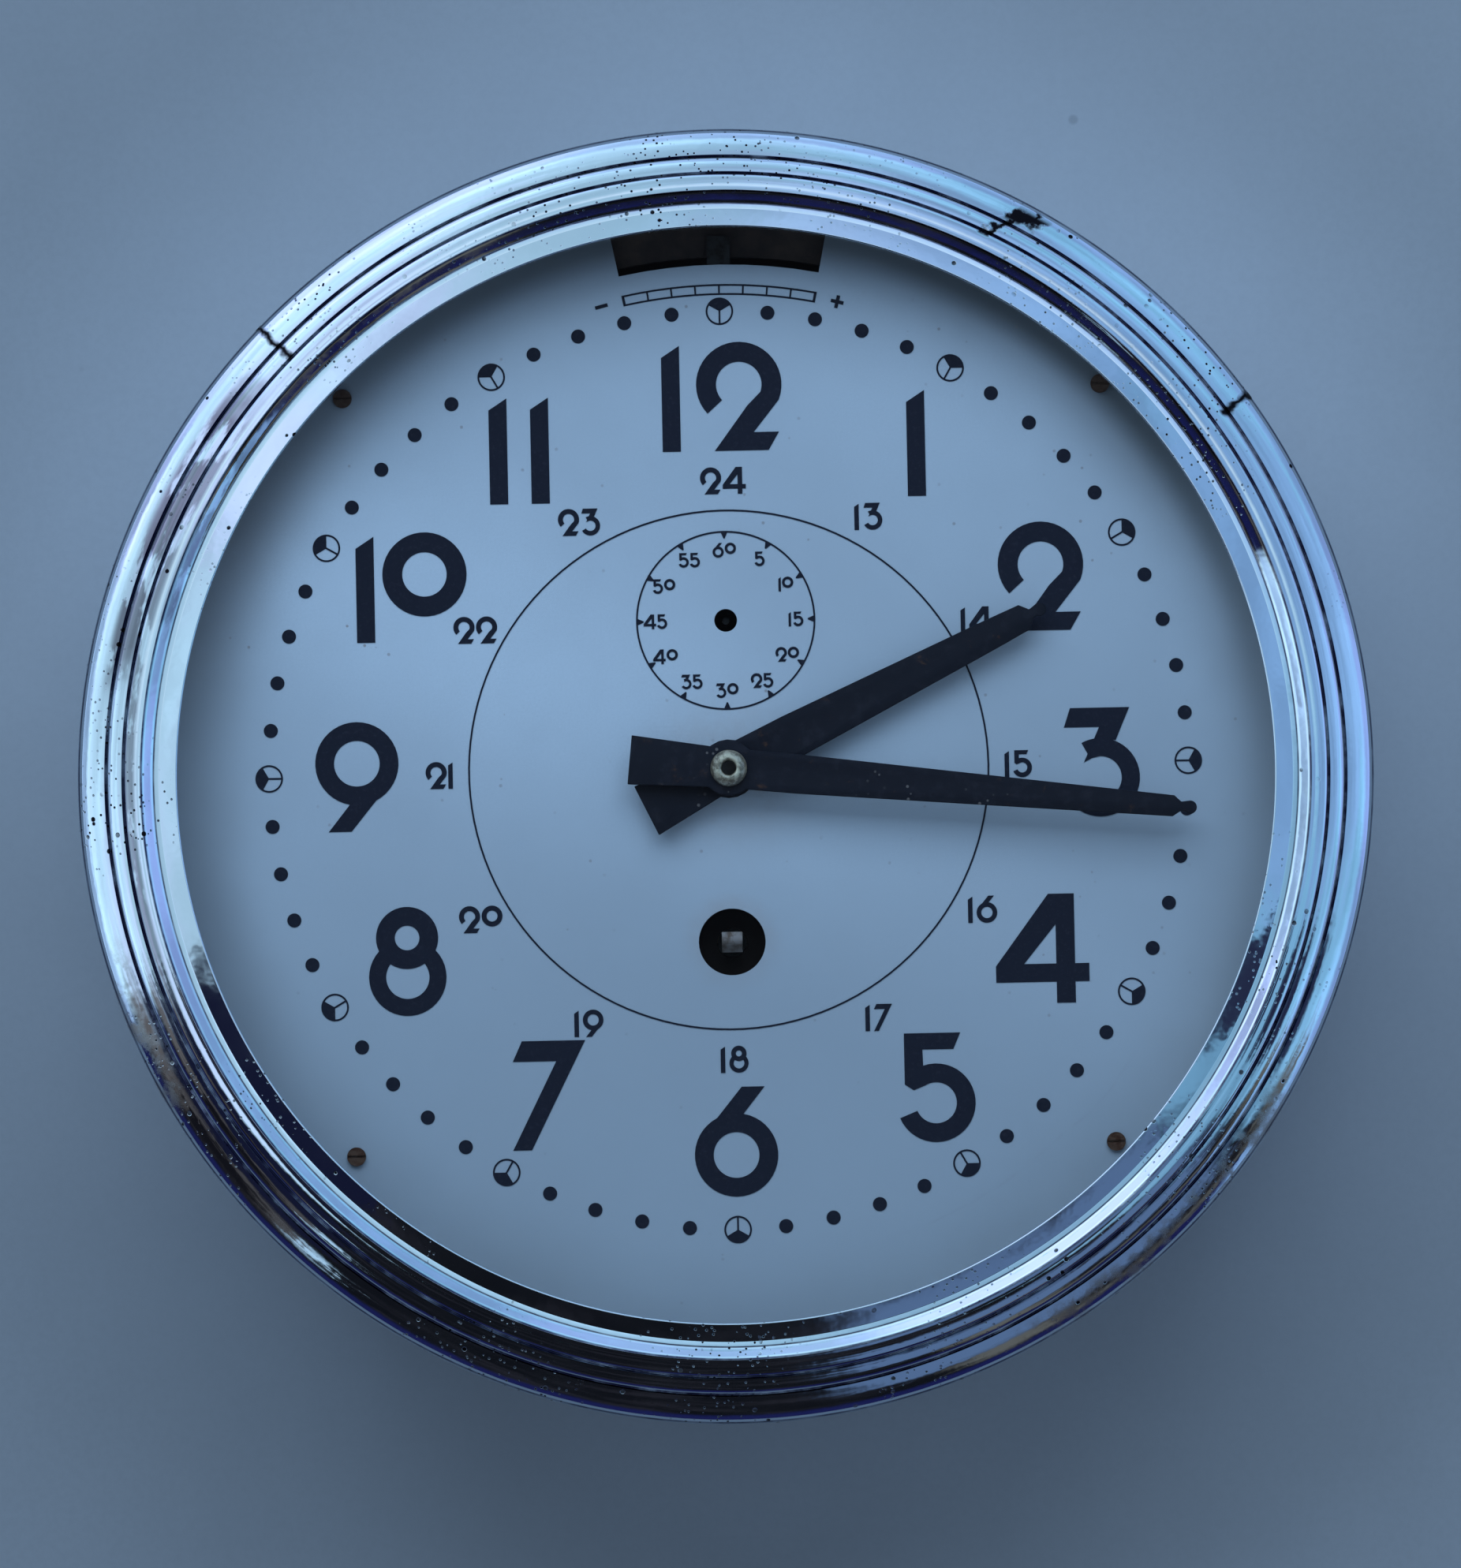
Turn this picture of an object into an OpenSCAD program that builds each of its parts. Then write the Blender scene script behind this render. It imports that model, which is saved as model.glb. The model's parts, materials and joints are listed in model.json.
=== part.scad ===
// Ship clock with a hinged bezel, a recessed dial and an eight-day lever movement.
// Inside the modules x is right, y is up to twelve o'clock, and z is the distance from the wall.
// from_wall() then turns the clock so that +Z is up and the dial faces -Y. All sizes are in mm.

/* [Case] */
// How far the bezel reaches outside the case drum
bezel_over = 9; // [8.6:0.1:10]
// Thickness of the drum's wall
case_wall = 2; // [1.6:0.2:2.4]
// Thickness of the drum's back
case_back = 1.5; // [1:0.25:3]
// Distance from the wall to the front of the dial
dial_face = 50; // [48:0.5:60]
// How far the drum's rim stands in front of the dial
rim_rise = 1; // [0.6:0.2:1.6]
// Number of wall screw holes
wall_holes = 3; // [2:1:6]
// Radius of the wall screw holes
wall_hole_r = 2.25; // [1.5:0.25:3]
// Diameter of the circle of wall screw holes
wall_hole_pcd = 150; // [130:5:170]
// Width of the dial's edge that rests on the ring it is screwed to
seat_w = 9.6; // [9.2:0.1:10]
// Thickness of that ring
seat_t = 4.5; // [4:0.25:6]

/* [Bezel] */
// Outer radius of the bezel
bezel_r = 110; // [109.5:0.25:112]
// Width of the bezel's front from the opening to its outer edge
front_w = 16.5; // [16:0.1:17]
// Distance of the bezel's highest ridge inside its outer edge
crest_in = 10.1; // [9.8:0.1:10.6]
// Height of that ridge over the glass
crest_rise = 2.6; // [2.2:0.1:3.2]
// Thickness of the bezel's outer skirt
skirt_wall = 2.2; // [1.8:0.2:2.4]
// Gap between the closed bezel and the drum's rim
seat_gap = 0.2; // [0.1:0.05:0.3]

/* [Glass] */
// How far the glass reaches behind the bezel's lip
glass_cover = 3; // [2.6:0.1:3.2]
// Thickness of the glass
glass_t = 2.5; // [2:0.25:3]
// Room between the dial and the glass
glass_room = 9.9; // [9.6:0.1:12]
// Depth of the ring that holds the glass
retainer_h = 3.6; // [2.5:0.1:4]

/* [Hinge and catch] */
// Distance of the hinge axis from the drum's side
hinge_out = 3.5; // [3.4:0.1:3.8]
// Distance of the hinge axis behind the drum's rim
hinge_back = 8.5; // [8:0.25:9]
// Radius of the hinge knuckles
knuckle_r = 2.2; // [2:0.1:2.3]
// Radius of the hinge pin
hinge_pin_r = 1.1; // [0.8:0.1:1.3]
// Length of the middle knuckle
knuckle_mid = 10; // [8:1:14]
// Length of each outer knuckle
knuckle_end = 7; // [5:1:9]
// Width of the catch spring
catch_w = 8; // [6:1:10]

/* [Dial] */
// Thickness of the dial plate
dial_t = 1; // [0.8:0.1:1.5]
// Gap between the dial and the drum's side
dial_gap = 1.4; // [1:0.1:2]
// Distance of the dial screws inside the dial's edge
dial_screw_in = 6.1; // [5.6:0.1:6.6]
// Radius of the dial screw heads
dial_screw_head_r = 1.6; // [1.4:0.1:1.8]
// Radius of the winding hole
wind_hole_r = 5.7; // [5:0.1:6.5]
// Radius of the seconds arbor's hole
seconds_hole_r = 1.95; // [1.5:0.1:2.4]
// Distance of the regulator slot inside the dial's edge
slot_edge = 4.4; // [4:0.1:5]
// Width of the regulator slot
slot_w = 6.8; // [6.4:0.1:7.2]
// Half of the angle that the regulator slot spans
slot_half = 11.4; // [10:0.2:13]
// Thickness of the printing
ink_t = 0.12; // [0.08:0.02:0.3]
// Distance of the minute track inside the regulator scale
track_in = 4.65; // [4.4:0.05:5]
// Radius of a minute dot
dot_r = 1.2; // [0.8:0.1:1.5]
// Outer radius of an hour marker
marker_r = 2.35; // [2:0.05:2.5]
// Width of the printed lines
line_w = 0.3; // [0.2:0.05:0.4]
// Distance of the hour numerals' middles inside the minute track
hour_in = 15; // [14.6:0.1:15.6]
// Height of the hour numerals
hour_h = 18.6; // [16:0.2:19]
// Distance of the 24-hour numerals inside the hour numerals
day_in = 14; // [13.6:0.1:14.4]
// Height of the 24-hour numerals
day_h = 4.6; // [4:0.1:5]
// Distance of the thin circle inside the 24-hour numerals
circle_in = 5.1; // [4.6:0.1:5.6]
// Radius of the seconds circle
seconds_r = 15.3; // [14:0.1:16]
// Distance of the seconds numerals inside the seconds circle
seconds_in = 3.3; // [3:0.1:3.8]
// Height of the seconds numerals
seconds_h = 2.5; // [2:0.1:2.8]
// Gap between the regulator slot and the scale under it
scale_gap = 3.35; // [3:0.05:3.8]
// Height of the regulator scale
scale_h = 1.85; // [1.4:0.05:2]

/* [Hands] */
// How far the minute hand reaches over the minute track
minute_over = 1.4; // [0:0.2:2]
// How far the hour hand's tip stays inside the hour numerals' middles
hour_short = 2.8; // [2:0.2:6]
// Radius of the hour hand's hub
hour_hub_r = 5; // [4.6:0.1:5.4]
// Half width of the hour hand at its root
hour_root_w = 3.8; // [3.2:0.1:4]
// Distance from the tip where the hour hand's taper changes
hour_knee = 10.6; // [8:0.2:14]
// Half width of the hour hand there
hour_knee_w = 2.6; // [2.2:0.1:3]
// Half width of the hour hand at its shoulder
hour_end_w = 2.3; // [1.8:0.1:2.6]
// Length of the hour hand's tail
hour_tail = 15.7; // [12:0.1:18]
// Half width of the hour hand's tail
hour_tail_w = 4.65; // [4:0.05:5]
// Radius of the minute hand's hub
minute_hub_r = 4.7; // [4.2:0.1:5.2]
// Half width of the minute hand at its root
minute_root_w = 3.35; // [3:0.05:3.8]
// Distance from the tip where the minute hand's taper changes
minute_knee = 27.8; // [20:0.2:32]
// Half width of the minute hand there
minute_knee_w = 2.4; // [2:0.1:2.8]
// Half width of the minute hand at its shoulder
minute_end_w = 1.8; // [1.4:0.1:2.2]
// Length of the minute hand's tail
minute_tail = 16.9; // [12:0.1:18]
// Half width of the minute hand's tail
minute_tail_w = 4.2; // [3.6:0.1:4.8]
// Thickness of the hands
hand_t = 0.8; // [0.6:0.1:1]
// Distance of the hour hand in front of the dial
hour_gap = 3.4; // [3:0.1:4]
// Distance of the minute hand in front of the hour hand
minute_gap = 1.8; // [1.4:0.1:2]
// Clockwise angle of the minute hand as stored
minute_now = 96; // [0:1:359]
// Clockwise angle of the hour hand as stored
hour_now = 64; // [0:1:359]
// Radius of the centre nut
nut_r = 3.1; // [2.8:0.1:3.5]
// Height of the centre nut
nut_h = 2.1; // [1.6:0.1:2.4]

/* [Movement frame] */
// Radius of the movement plates
plate_r = 56; // [54:0.5:60]
// Thickness of the movement plates
plate_t = 2; // [1.6:0.2:2.4]
// Room between the movement plates
plate_gap = 25.5; // [25.3:0.1:27]
// Length of the dial feet
foot_l = 6; // [5.6:0.1:7]
// Radius of the circle of pillars and dial feet
post_at = 50; // [49:0.5:51]
// Radius of a pillar
pillar_r = 2.5; // [2:0.1:3]
// Radius of a dial foot
foot_r = 2.5; // [2:0.1:3]
// Running clearance of a pivot in its hole
run = 0.05; // [0.03:0.01:0.08]
// Gap between two pieces that are fixed together
snug = 0.02; // [0.01:0.01:0.03]

/* [Gear train] */
// Height of the winding arbor over the centre, downwards
wind_down = 29.4; // [29:0.1:30]
// Height of the seconds arbor over the centre, upwards
seconds_up = 25.5; // [25.2:0.1:26]
// Teeth of the barrel
barrel_teeth = 84; // [80:1:84]
// Teeth of the intermediate pinion
inter_pinion_teeth = 12; // [10:1:12]
// Teeth of the intermediate wheel
inter_teeth = 60; // [58:1:60]
// Teeth of the centre pinion
centre_pinion_teeth = 12; // [11:1:12]
// Teeth of the centre wheel
centre_teeth = 80; // [76:1:80]
// Teeth of the third pinion
third_pinion_teeth = 10; // [9:1:10]
// Teeth of the third wheel
third_teeth = 75; // [70:1:75]
// Teeth of the fourth pinion
fourth_pinion_teeth = 10; // [9:1:10]
// Teeth of the fourth wheel
fourth_teeth = 80; // [76:1:80]
// Teeth of the escape pinion
escape_pinion_teeth = 8; // [7:1:8]
// Teeth of the cannon pinion
cannon_teeth = 12; // [10:1:14]
// Teeth of the minute wheel
minute_wheel_teeth = 36; // [30:1:42]
// Teeth of the minute wheel's pinion
minute_pinion_teeth = 10; // [8:1:10]
// Teeth of the hour wheel
hour_wheel_teeth = 40; // [38:1:42]
// Tooth size of the barrel and the intermediate wheel, as pitch diameter over teeth
power_module = 0.5; // [0.49:0.01:0.5]
// Tooth size of the centre wheel
centre_module = 0.4; // [0.39:0.01:0.4]
// Tooth size of the third wheel
third_module = 0.36; // [0.35:0.01:0.37]
// Tooth size of the fourth wheel
fourth_module = 0.3; // [0.29:0.01:0.3]
// Tooth size of the cannon pinion and the minute wheel
motion_module = 0.42; // [0.38:0.01:0.44]
// Thickness of the train wheels
wheel_t = 1; // [0.8:0.1:1.2]
// Radius of the barrel's drum
drum_r = 20; // [19:0.1:20.2]
// Thickness of the barrel's side
drum_wall = 1.4; // [1:0.1:1.8]
// Depth of the barrel's drum
drum_h = 15; // [13:0.5:15.5]
// Thickness of the mainspring
spring_t = 0.45; // [0.3:0.05:0.6]
// Turns of the mainspring
spring_turns = 7; // [5:1:9]
// Radius of the barrel arbor
wind_r = 2.5; // [2.4:0.05:2.6]
// Side of the winding square
square_w = 3.5; // [3:0.1:3.5]
// How far the winding square stays behind the dial's front
square_in = 2.2; // [2:0.1:3]
// Outer radius of the ratchet wheel
ratchet_r = 9; // [8.6:0.1:9.4]
// Teeth of the ratchet wheel
ratchet_teeth = 24; // [24:24:24]

/* [Escapement] */
// Height of the balance axis over the centre
balance_up = 44; // [43.6:0.1:44.4]
// Radius of the balance wheel
balance_r = 7.7; // [7:0.1:7.8]
// Radius of the escape wheel
escape_r = 6.4; // [6.2:0.1:6.5]
// Direction from the seconds arbor to the escape arbor, anticlockwise from twelve
escape_turn = 62; // [60:0.5:64]
// Clearance between the pallet stones and the escape wheel's teeth at the middle of the swing
pallet_gap = 0.1; // [0.08:0.01:0.15]
// Radius of the opening in the front plate over the hairspring
window_r = 7; // [6.6:0.1:7.2]
// Radius of the hairspring's last coil
hair_r = 5.25; // [5:0.05:5.4]
// Thickness of the hairspring
hair_t = 0.16; // [0.12:0.01:0.2]
// Turns of the hairspring
hair_turns = 5; // [4:1:6]
// Width of the regulator index where it shows in the slot
index_w = 3.9; // [3:0.1:4.5]

/* [Hidden] */
$fn = 96;

// Colours, as on the real clock
brass = "#b8954f";
steel = "#8f9499";
chrome = "#b9c4cf";
silvered = "#9fb1cc";
black = "#1c1d22";
ink = "#17181f";

// Distances from the wall
dial_back = dial_face - dial_t;
rim_z = dial_face + rim_rise;
bezel_seat_z = rim_z + seat_gap;
glass_z = dial_face + glass_room;
lip_z = glass_z + glass_t;
crest_z = lip_z + crest_rise;
hinge_z = rim_z - hinge_back;
skirt_z = hinge_z + knuckle_r + 0.3;
under_z = crest_z - 7.6;
front_plate_z = dial_back - foot_l;
front_plate_back = front_plate_z - plate_t;
back_plate_front = front_plate_back - plate_gap;
back_plate_z = back_plate_front - plate_t;

// Case and bezel
case_r = bezel_r - bezel_over;
drum_in_r = case_r - case_wall;
lip_r = bezel_r - front_w;
crest_r = bezel_r - crest_in;
glass_r = lip_r + glass_cover;
ledge = 0.7;
seat_out_r = drum_in_r + ledge - run;
glass_bore_r = glass_r + 0.5;
plug_r = case_r + 0.4;
hinge_x = -case_r - hinge_out;
knuckle_gap = 0.3;
leaf_gap = 0.08;
leaf_half = knuckle_mid / 2 + knuckle_gap + knuckle_end;
leaf_l = 16;
leaf_root = 1;
leaf_screw_r = 1;
leaf_head_r = 1.8;
leaf_head_h = 1;
leaf_screw_z = hinge_z - leaf_l + 4.5;
leaf_screw_y = leaf_half - 4;
catch_x = bezel_r - skirt_wall - 0.6;
catch_foot_z = hinge_z - leaf_l;
catch_t = 0.85;
cut = 1;

// Heights of the train over the back plate
inter_z = back_plate_front + 1;
centre_pinion_z = back_plate_front + 0.6;
barrel_z = back_plate_front + 3;
barrel_rim_h = 2;
inter_pinion_z = barrel_z - 0.4;
fourth_z = back_plate_front + 9;
escape_z = back_plate_front + 14;
escape_t = 0.8;
third_z = back_plate_front + 16;
balance_z = back_plate_front + 18;
balance_t = 1.2;
hair_z = back_plate_front + 21.5;
hair_h = 0.6;
centre_z = front_plate_back - 3.1;
leaf_over = 0.5;
pivot_r = 0.6;
shake = 0.2;
drum_z = barrel_z + barrel_rim_h;
cap_z = drum_z + drum_h;
cap_t = 1;
hub_r = 4;

// Places on the dial
dial_r = drum_in_r - dial_gap;
seat_in_r = dial_r - seat_w;
dial_screw_at = dial_r - dial_screw_in;
dial_screw_r = 1.2;
slot_out_r = dial_r - slot_edge;
slot_in_r = slot_out_r - slot_w;
scale_r = slot_in_r - scale_gap;
track_r = scale_r - track_in;
hour_at = track_r - hour_in;
day_at = hour_at - day_in;
day_circle_r = day_at - circle_in;
seconds_at = seconds_r - seconds_in;
minute_l = track_r + minute_over;
hour_l = hour_at - hour_short;

// Motion work, in front of the front plate
cannon_z = front_plate_z + 0.4;
cannon_h = 1.6;
minute_wheel_z = front_plate_z + 0.6;
minute_wheel_t = 1.2;
hour_wheel_z = front_plate_z + 2.3;
hour_wheel_t = 1.2;
hour_z = dial_face + hour_gap;
minute_z = hour_z + hand_t + minute_gap;
nut_z = minute_z + hand_t + snug;
cannon_r = 2.2;
hour_pipe_r = 3.4;
centre_tip_r = 1.2;
nib_r = 1.15;
nib_w = 0.8;
root_l = 12;
shoulder = 4;
neck = 2.7;
centre_hole_r = hour_pipe_r + 1;
stud_r = 0.9;

// Screws of the pillars and the dial feet
foot_angles = [80, 180, 280];
post_screw_r = 1;
post_head_r = 2.2;
post_head_h = 1.2;
spigot_r = 1.5;

// Ratchet and click, behind the back plate
ratchet_t = 1.6;
ratchet_z = back_plate_z - 0.3 - ratchet_t;
ratchet_root_r = ratchet_r - 1.4;
click_t = ratchet_t - 0.2;

// Pitch radii and the places of the arbors
inter_pinion_r = power_module * inter_pinion_teeth / 2;
barrel_pitch_r = power_module * barrel_teeth / 2;
inter_r = power_module * inter_teeth / 2;
centre_pinion_r = power_module * centre_pinion_teeth / 2;
centre_wheel_r = centre_module * centre_teeth / 2;
third_pinion_r = centre_module * third_pinion_teeth / 2;
third_wheel_r = third_module * third_teeth / 2;
fourth_pinion_r = third_module * fourth_pinion_teeth / 2;
fourth_wheel_r = fourth_module * fourth_teeth / 2;
escape_pinion_r = fourth_module * escape_pinion_teeth / 2;
motion_l = motion_module * (cannon_teeth + minute_wheel_teeth) / 2;
hour_module = 2 * motion_l / (minute_pinion_teeth + hour_wheel_teeth);

centre_at = [0, 0];
barrel_at = [0, -wind_down];
fourth_at = [0, seconds_up];
balance_at = [0, balance_up];
inter_at = meet(barrel_at, barrel_pitch_r + inter_pinion_r, centre_at, inter_r + centre_pinion_r);
third_at = meet(fourth_at, fourth_pinion_r + third_wheel_r, centre_at, centre_wheel_r + third_pinion_r);
escape_l = fourth_wheel_r + escape_pinion_r;
escape_at = fourth_at + escape_l * [-sin(escape_turn), cos(escape_turn)];
lever_way = (balance_at - escape_at) / norm(balance_at - escape_at);
pallet_span = 33;
pallet_l = escape_r / cos(pallet_span);
pallet_at = escape_at + pallet_l * lever_way;
lever_angle = atan2(lever_way[1], lever_way[0]);
lever_l = norm(balance_at - pallet_at);
motion_angle = -30;
minute_wheel_at = motion_l * [cos(motion_angle), sin(motion_angle)];

// Balance, hairspring and regulator
roller_pin_at = 2.2;
roller_r = 2.8;
roller_z = escape_z + escape_t + 0.4;
roller_t = 0.8;
roller_pin_r = 0.3;
roller_pin_gap = 0.15;
staff_r = 0.9;
staff_pivot_r = 0.4;
collet_r = 1.3;
cock_t = 1.8;
cock_w = 7;
cock_screw_r = 0.8;
cock_head_r = 1.6;
cock_z = front_plate_z;
cock_boss_r = 3;
cock_boss_h = 1.8;
cock_screw_x = 11.5;
index_z = cock_z + cock_t + 0.2;
index_t = 1.2;
index_tip_z = index_z + index_t + 0.7;
index_ring_r = 5.2;
index_root_w = 3.4;
index_bend = slot_in_r - balance_up - 3.4;
index_end = dial_screw_at - balance_up;
index_limit = 16;
curb_pin_r = 0.15;
curb_gap = 0.1;
curb_at = [hair_r - hair_t / 2 - curb_gap - curb_pin_r, hair_r + hair_t / 2 + curb_gap + curb_pin_r];
stud_angle = -30;
hair_stud_r = 0.4;
hair_stud_out = 0.25;

// Digit shapes are drawn in a box this high and then scaled
digit_h = 18.6;
digit_w = [14.4, 3.1, 14.4, 13.4, 15.9, 13, 14.2, 12.6, 13.3, 14.2];

// Place of a point at distance a from p and b from q, on the left of the way from p to q
function meet(p, a, q, b) =
    let (d = norm(q - p), u = (q - p) / d, s = (a * a - b * b + d * d) / (2 * d),
         h = sqrt(a * a - s * s))
    p + s * u + h * [-u[1], u[0]];
function polar(r, a) = [r * cos(a), r * sin(a)];
function on_clock(r, a) = [r * sin(a), r * cos(a)];
function way(p, q) = atan2(q[1] - p[1], q[0] - p[0]);

// Points of an arc from a to b that bulges to the left of that way by rise
function bow(a, b, rise, steps = 6) =
    let (c = norm(b - a), u = (b - a) / c, n = [-u[1], u[0]],
         r = (c * c / 4 + rise * rise) / (2 * rise), mid = (a + b) / 2 - n * (r - rise),
         half = asin(c / 2 / r))
    [for (i = [0:steps]) let (t = half * (2 * i / steps - 1)) mid + r * (n * cos(t) + u * sin(t))];

// Outline of a toothed rim; each pair in teeth_form is a radius and a share of the pitch
function toothed(teeth, form, start) =
    [for (i = [0:teeth - 1], p = form) polar(p[0], start + (i + p[1] / 2) * 360 / teeth)];
function wheel_form(r, m) =
    [[r - 1.2 * m, -0.54], [r, -0.44], [r + 0.85 * m, -0.1],
     [r + 0.85 * m, 0.1], [r, 0.44], [r - 1.2 * m, 0.54]];
function pinion_form(r, m) =
    [[r - 1.35 * m, -0.4], [r, -0.38], [r + 0.7 * m, -0.14],
     [r + 0.7 * m, 0.14], [r, 0.38], [r - 1.35 * m, 0.4]];

// A spiral strip whose last part stays on one circle
function spiral_r(t, turns, r0, r1, last) = min(r1, r0 + (r1 - r0) * t / (turns * 360 - last));
function spiral(turns, r0, r1, thick, end, last, step) =
    let (total = turns * 360, n = ceil(total / step))
    concat([for (i = [0:n]) let (t = i * total / n)
                polar(spiral_r(t, turns, r0, r1, last) + thick / 2, end - total + t)],
           [for (i = [n:-1:0]) let (t = i * total / n)
                polar(spiral_r(t, turns, r0, r1, last) - thick / 2, end - total + t)]);

module from_wall() rotate([90, 0, 0]) children();
module slab(z, h) translate([0, 0, z]) linear_extrude(h) children();
module rod(r, z, h) translate([0, 0, z]) cylinder(r = r, h = h);
module at(p) translate([p[0], p[1], 0]) children();
module ring(r_out, r_in) difference() {
    circle(r_out);
    circle(r_in);
}
module wedge(r, from, to) polygon(concat([[0, 0]],
    [for (i = [0:6]) polar(r, from + (to - from) * i / 6)]));
module ring_part(r_out, r_in, from, to) intersection() {
    ring(r_out, r_in);
    wedge(r_out * 1.5, from, to);
}
module around(n, r, start) for (i = [0:n - 1])
    at(on_clock(r, start + i * 360 / n)) children();
module wheel(teeth, m, start) polygon(toothed(teeth, wheel_form(m * teeth / 2, m), start));
module pinion(teeth, m, start) polygon(toothed(teeth, pinion_form(m * teeth / 2, m), start));
module upright_rod(r, y, h) translate([0, y, 0]) rotate([-90, 0, 0]) cylinder(r = r, h = h);
module sideways_rod(r, x, h) translate([x, 0, 0]) rotate([0, 90, 0]) cylinder(r = r, h = h);

// Openings between the arms of a wheel
module windows(arms, r_out, r_in, arm_w, start) difference() {
    ring(r_out, r_in);
    for (i = [0:arms - 1]) rotate(start + i * 360 / arms)
        translate([0, -arm_w / 2]) square([r_out * 1.2, arm_w]);
}
// A spoked train wheel with its first tooth at the angle start
module train_wheel(teeth, m, start, bore) difference() {
    wheel(teeth, m, start);
    circle(bore);
    windows(5, m * teeth / 2 - 4.2 * m, bore + 2.2, 5 * m, 18);
}
// An arbor from plate to plate with a pivot at each end
module arbor(r, z0, z1) {
    rod(r, z0 + shake, z1 - z0 - 2 * shake);
    rod(pivot_r, z0 - plate_t, z1 - z0 + 2 * plate_t);
}

// Digits, each with its left edge at zero and its foot on the base line
module digit(n) {
    if (n == 0) translate([7.2, 11.5]) ring(7.2, 3.8);
    if (n == 1) polygon([[0, 0], [3.1, 0], [3.1, 18.1], [0, 16.1]]);
    if (n == 2) {
        translate([7.3, 11.3]) ring_part(7.3, 3.9, -22, 222);
        polygon([[3, 0], [12.2, 0], [14, 3.1], [9.7, 3.1], [14.1, 8.6], [10.9, 9.9], [8.7, 7.7]]);
    }
    if (n == 3) {
        translate([6.7, 6.7]) ring_part(6.7, 3.6, -150, 118);
        polygon([[3.9, 9.3], [5.3, 10], [6.7, 10.3], [8, 13.1], [9.4, 13], [11.8, 18.6], [1.7, 18.6],
                 [0.6, 15.3], [6.6, 15.3]]);
    }
    if (n == 4) difference() {
        polygon([[10.3, 0], [13.5, 0], [13.5, 3.6], [15.9, 3.6], [15.9, 6.7], [13.5, 6.7],
                 [13.5, 18.6], [9.1, 18.6], [0, 6.4], [0, 3.6], [10.3, 3.6]]);
        polygon([[4.8, 6.7], [10.3, 6.7], [10.3, 13.4]]);
    }
    if (n == 5) {
        translate([6.2, 6.7]) ring_part(6.7, 3.5, -158, 124);
        polygon([[0.9, 9.9], [2.4, 8.9], [4.2, 9.6], [4, 15.8], [9.3, 15.8], [10.5, 18.6], [0.9, 18.6]]);
    }
    if (n == 6) {
        translate([7.1, 7]) ring(7.1, 3.9);
        polygon([[1.5, 10.4], [8.2, 18.6], [12.1, 18.6], [8.2, 13.7], [5.4, 10.6], [3.4, 9.2]]);
    }
    if (n == 7) polygon([[0, 0], [3.2, 0], [12.6, 18.6], [1.8, 18.6], [0.2, 15.1], [7.6, 15.1]]);
    if (n == 8) {
        translate([6.65, 13.3]) ring(5.3, 2.1);
        difference() {
            translate([6.65, 6.6]) ring(6.6, 3.7);
            translate([6.65, 13.3]) circle(2.1);
        }
    }
    if (n == 9) translate([14.2, 18.6]) rotate(180) digit(6);
}
// A number of one or two digits, centred on its place
function figures(n) = n < 10 ? [n] : [floor(n / 10), n % 10];
function figure_gap(d) = d == [1, 1] ? 4 : d == [1, 0] ? 1.4 : d[0] == 1 ? 2.8 : 1.2;
module number(n, height) {
    d = figures(n);
    gap = figure_gap(d);
    full = len(d) == 1 ? digit_w[d[0]] : digit_w[d[0]] + gap + digit_w[d[1]];
    scale(height / digit_h) translate([-full / 2, -digit_h / 2]) {
        digit(d[0]);
        if (len(d) > 1) translate([digit_w[d[0]] + gap, 0]) digit(d[1]);
    }
}
module print() slab(dial_face, ink_t) children();

// Case

module case_drum() from_wall() color(chrome) difference() {
    rotate_extrude() polygon([[0, 0], [case_r - 1.2, 0], [case_r, 1.2], [case_r, rim_z],
        [drum_in_r + ledge, rim_z], [drum_in_r + ledge, dial_back - seat_t],
        [drum_in_r, dial_back - seat_t], [drum_in_r, case_back], [0, case_back]]);
    around(wall_holes, wall_hole_pcd / 2, 0) rod(wall_hole_r, -cut, case_back + 2 * cut);
    for (side = [-1, 1]) translate([0, side * leaf_screw_y, leaf_screw_z])
        sideways_rod(leaf_screw_r + run, -case_r - cut, case_wall + 2 * cut);
    translate([0, 0, leaf_screw_z]) sideways_rod(leaf_screw_r + run, drum_in_r - cut, case_wall + 2 * cut);
}

module dial_seat_ring() from_wall() color(steel) difference() {
    slab(dial_back - seat_t, seat_t) ring(seat_out_r, seat_in_r);
    slab(index_tip_z - 0.4, seat_t) ring_part(dial_screw_at + 2.4, seat_in_r - cut, 72, 108);
    around(4, dial_screw_at, 45) rod(dial_screw_r + run, dial_back - seat_t - cut, seat_t + 2 * cut);
}

// Bezel

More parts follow.
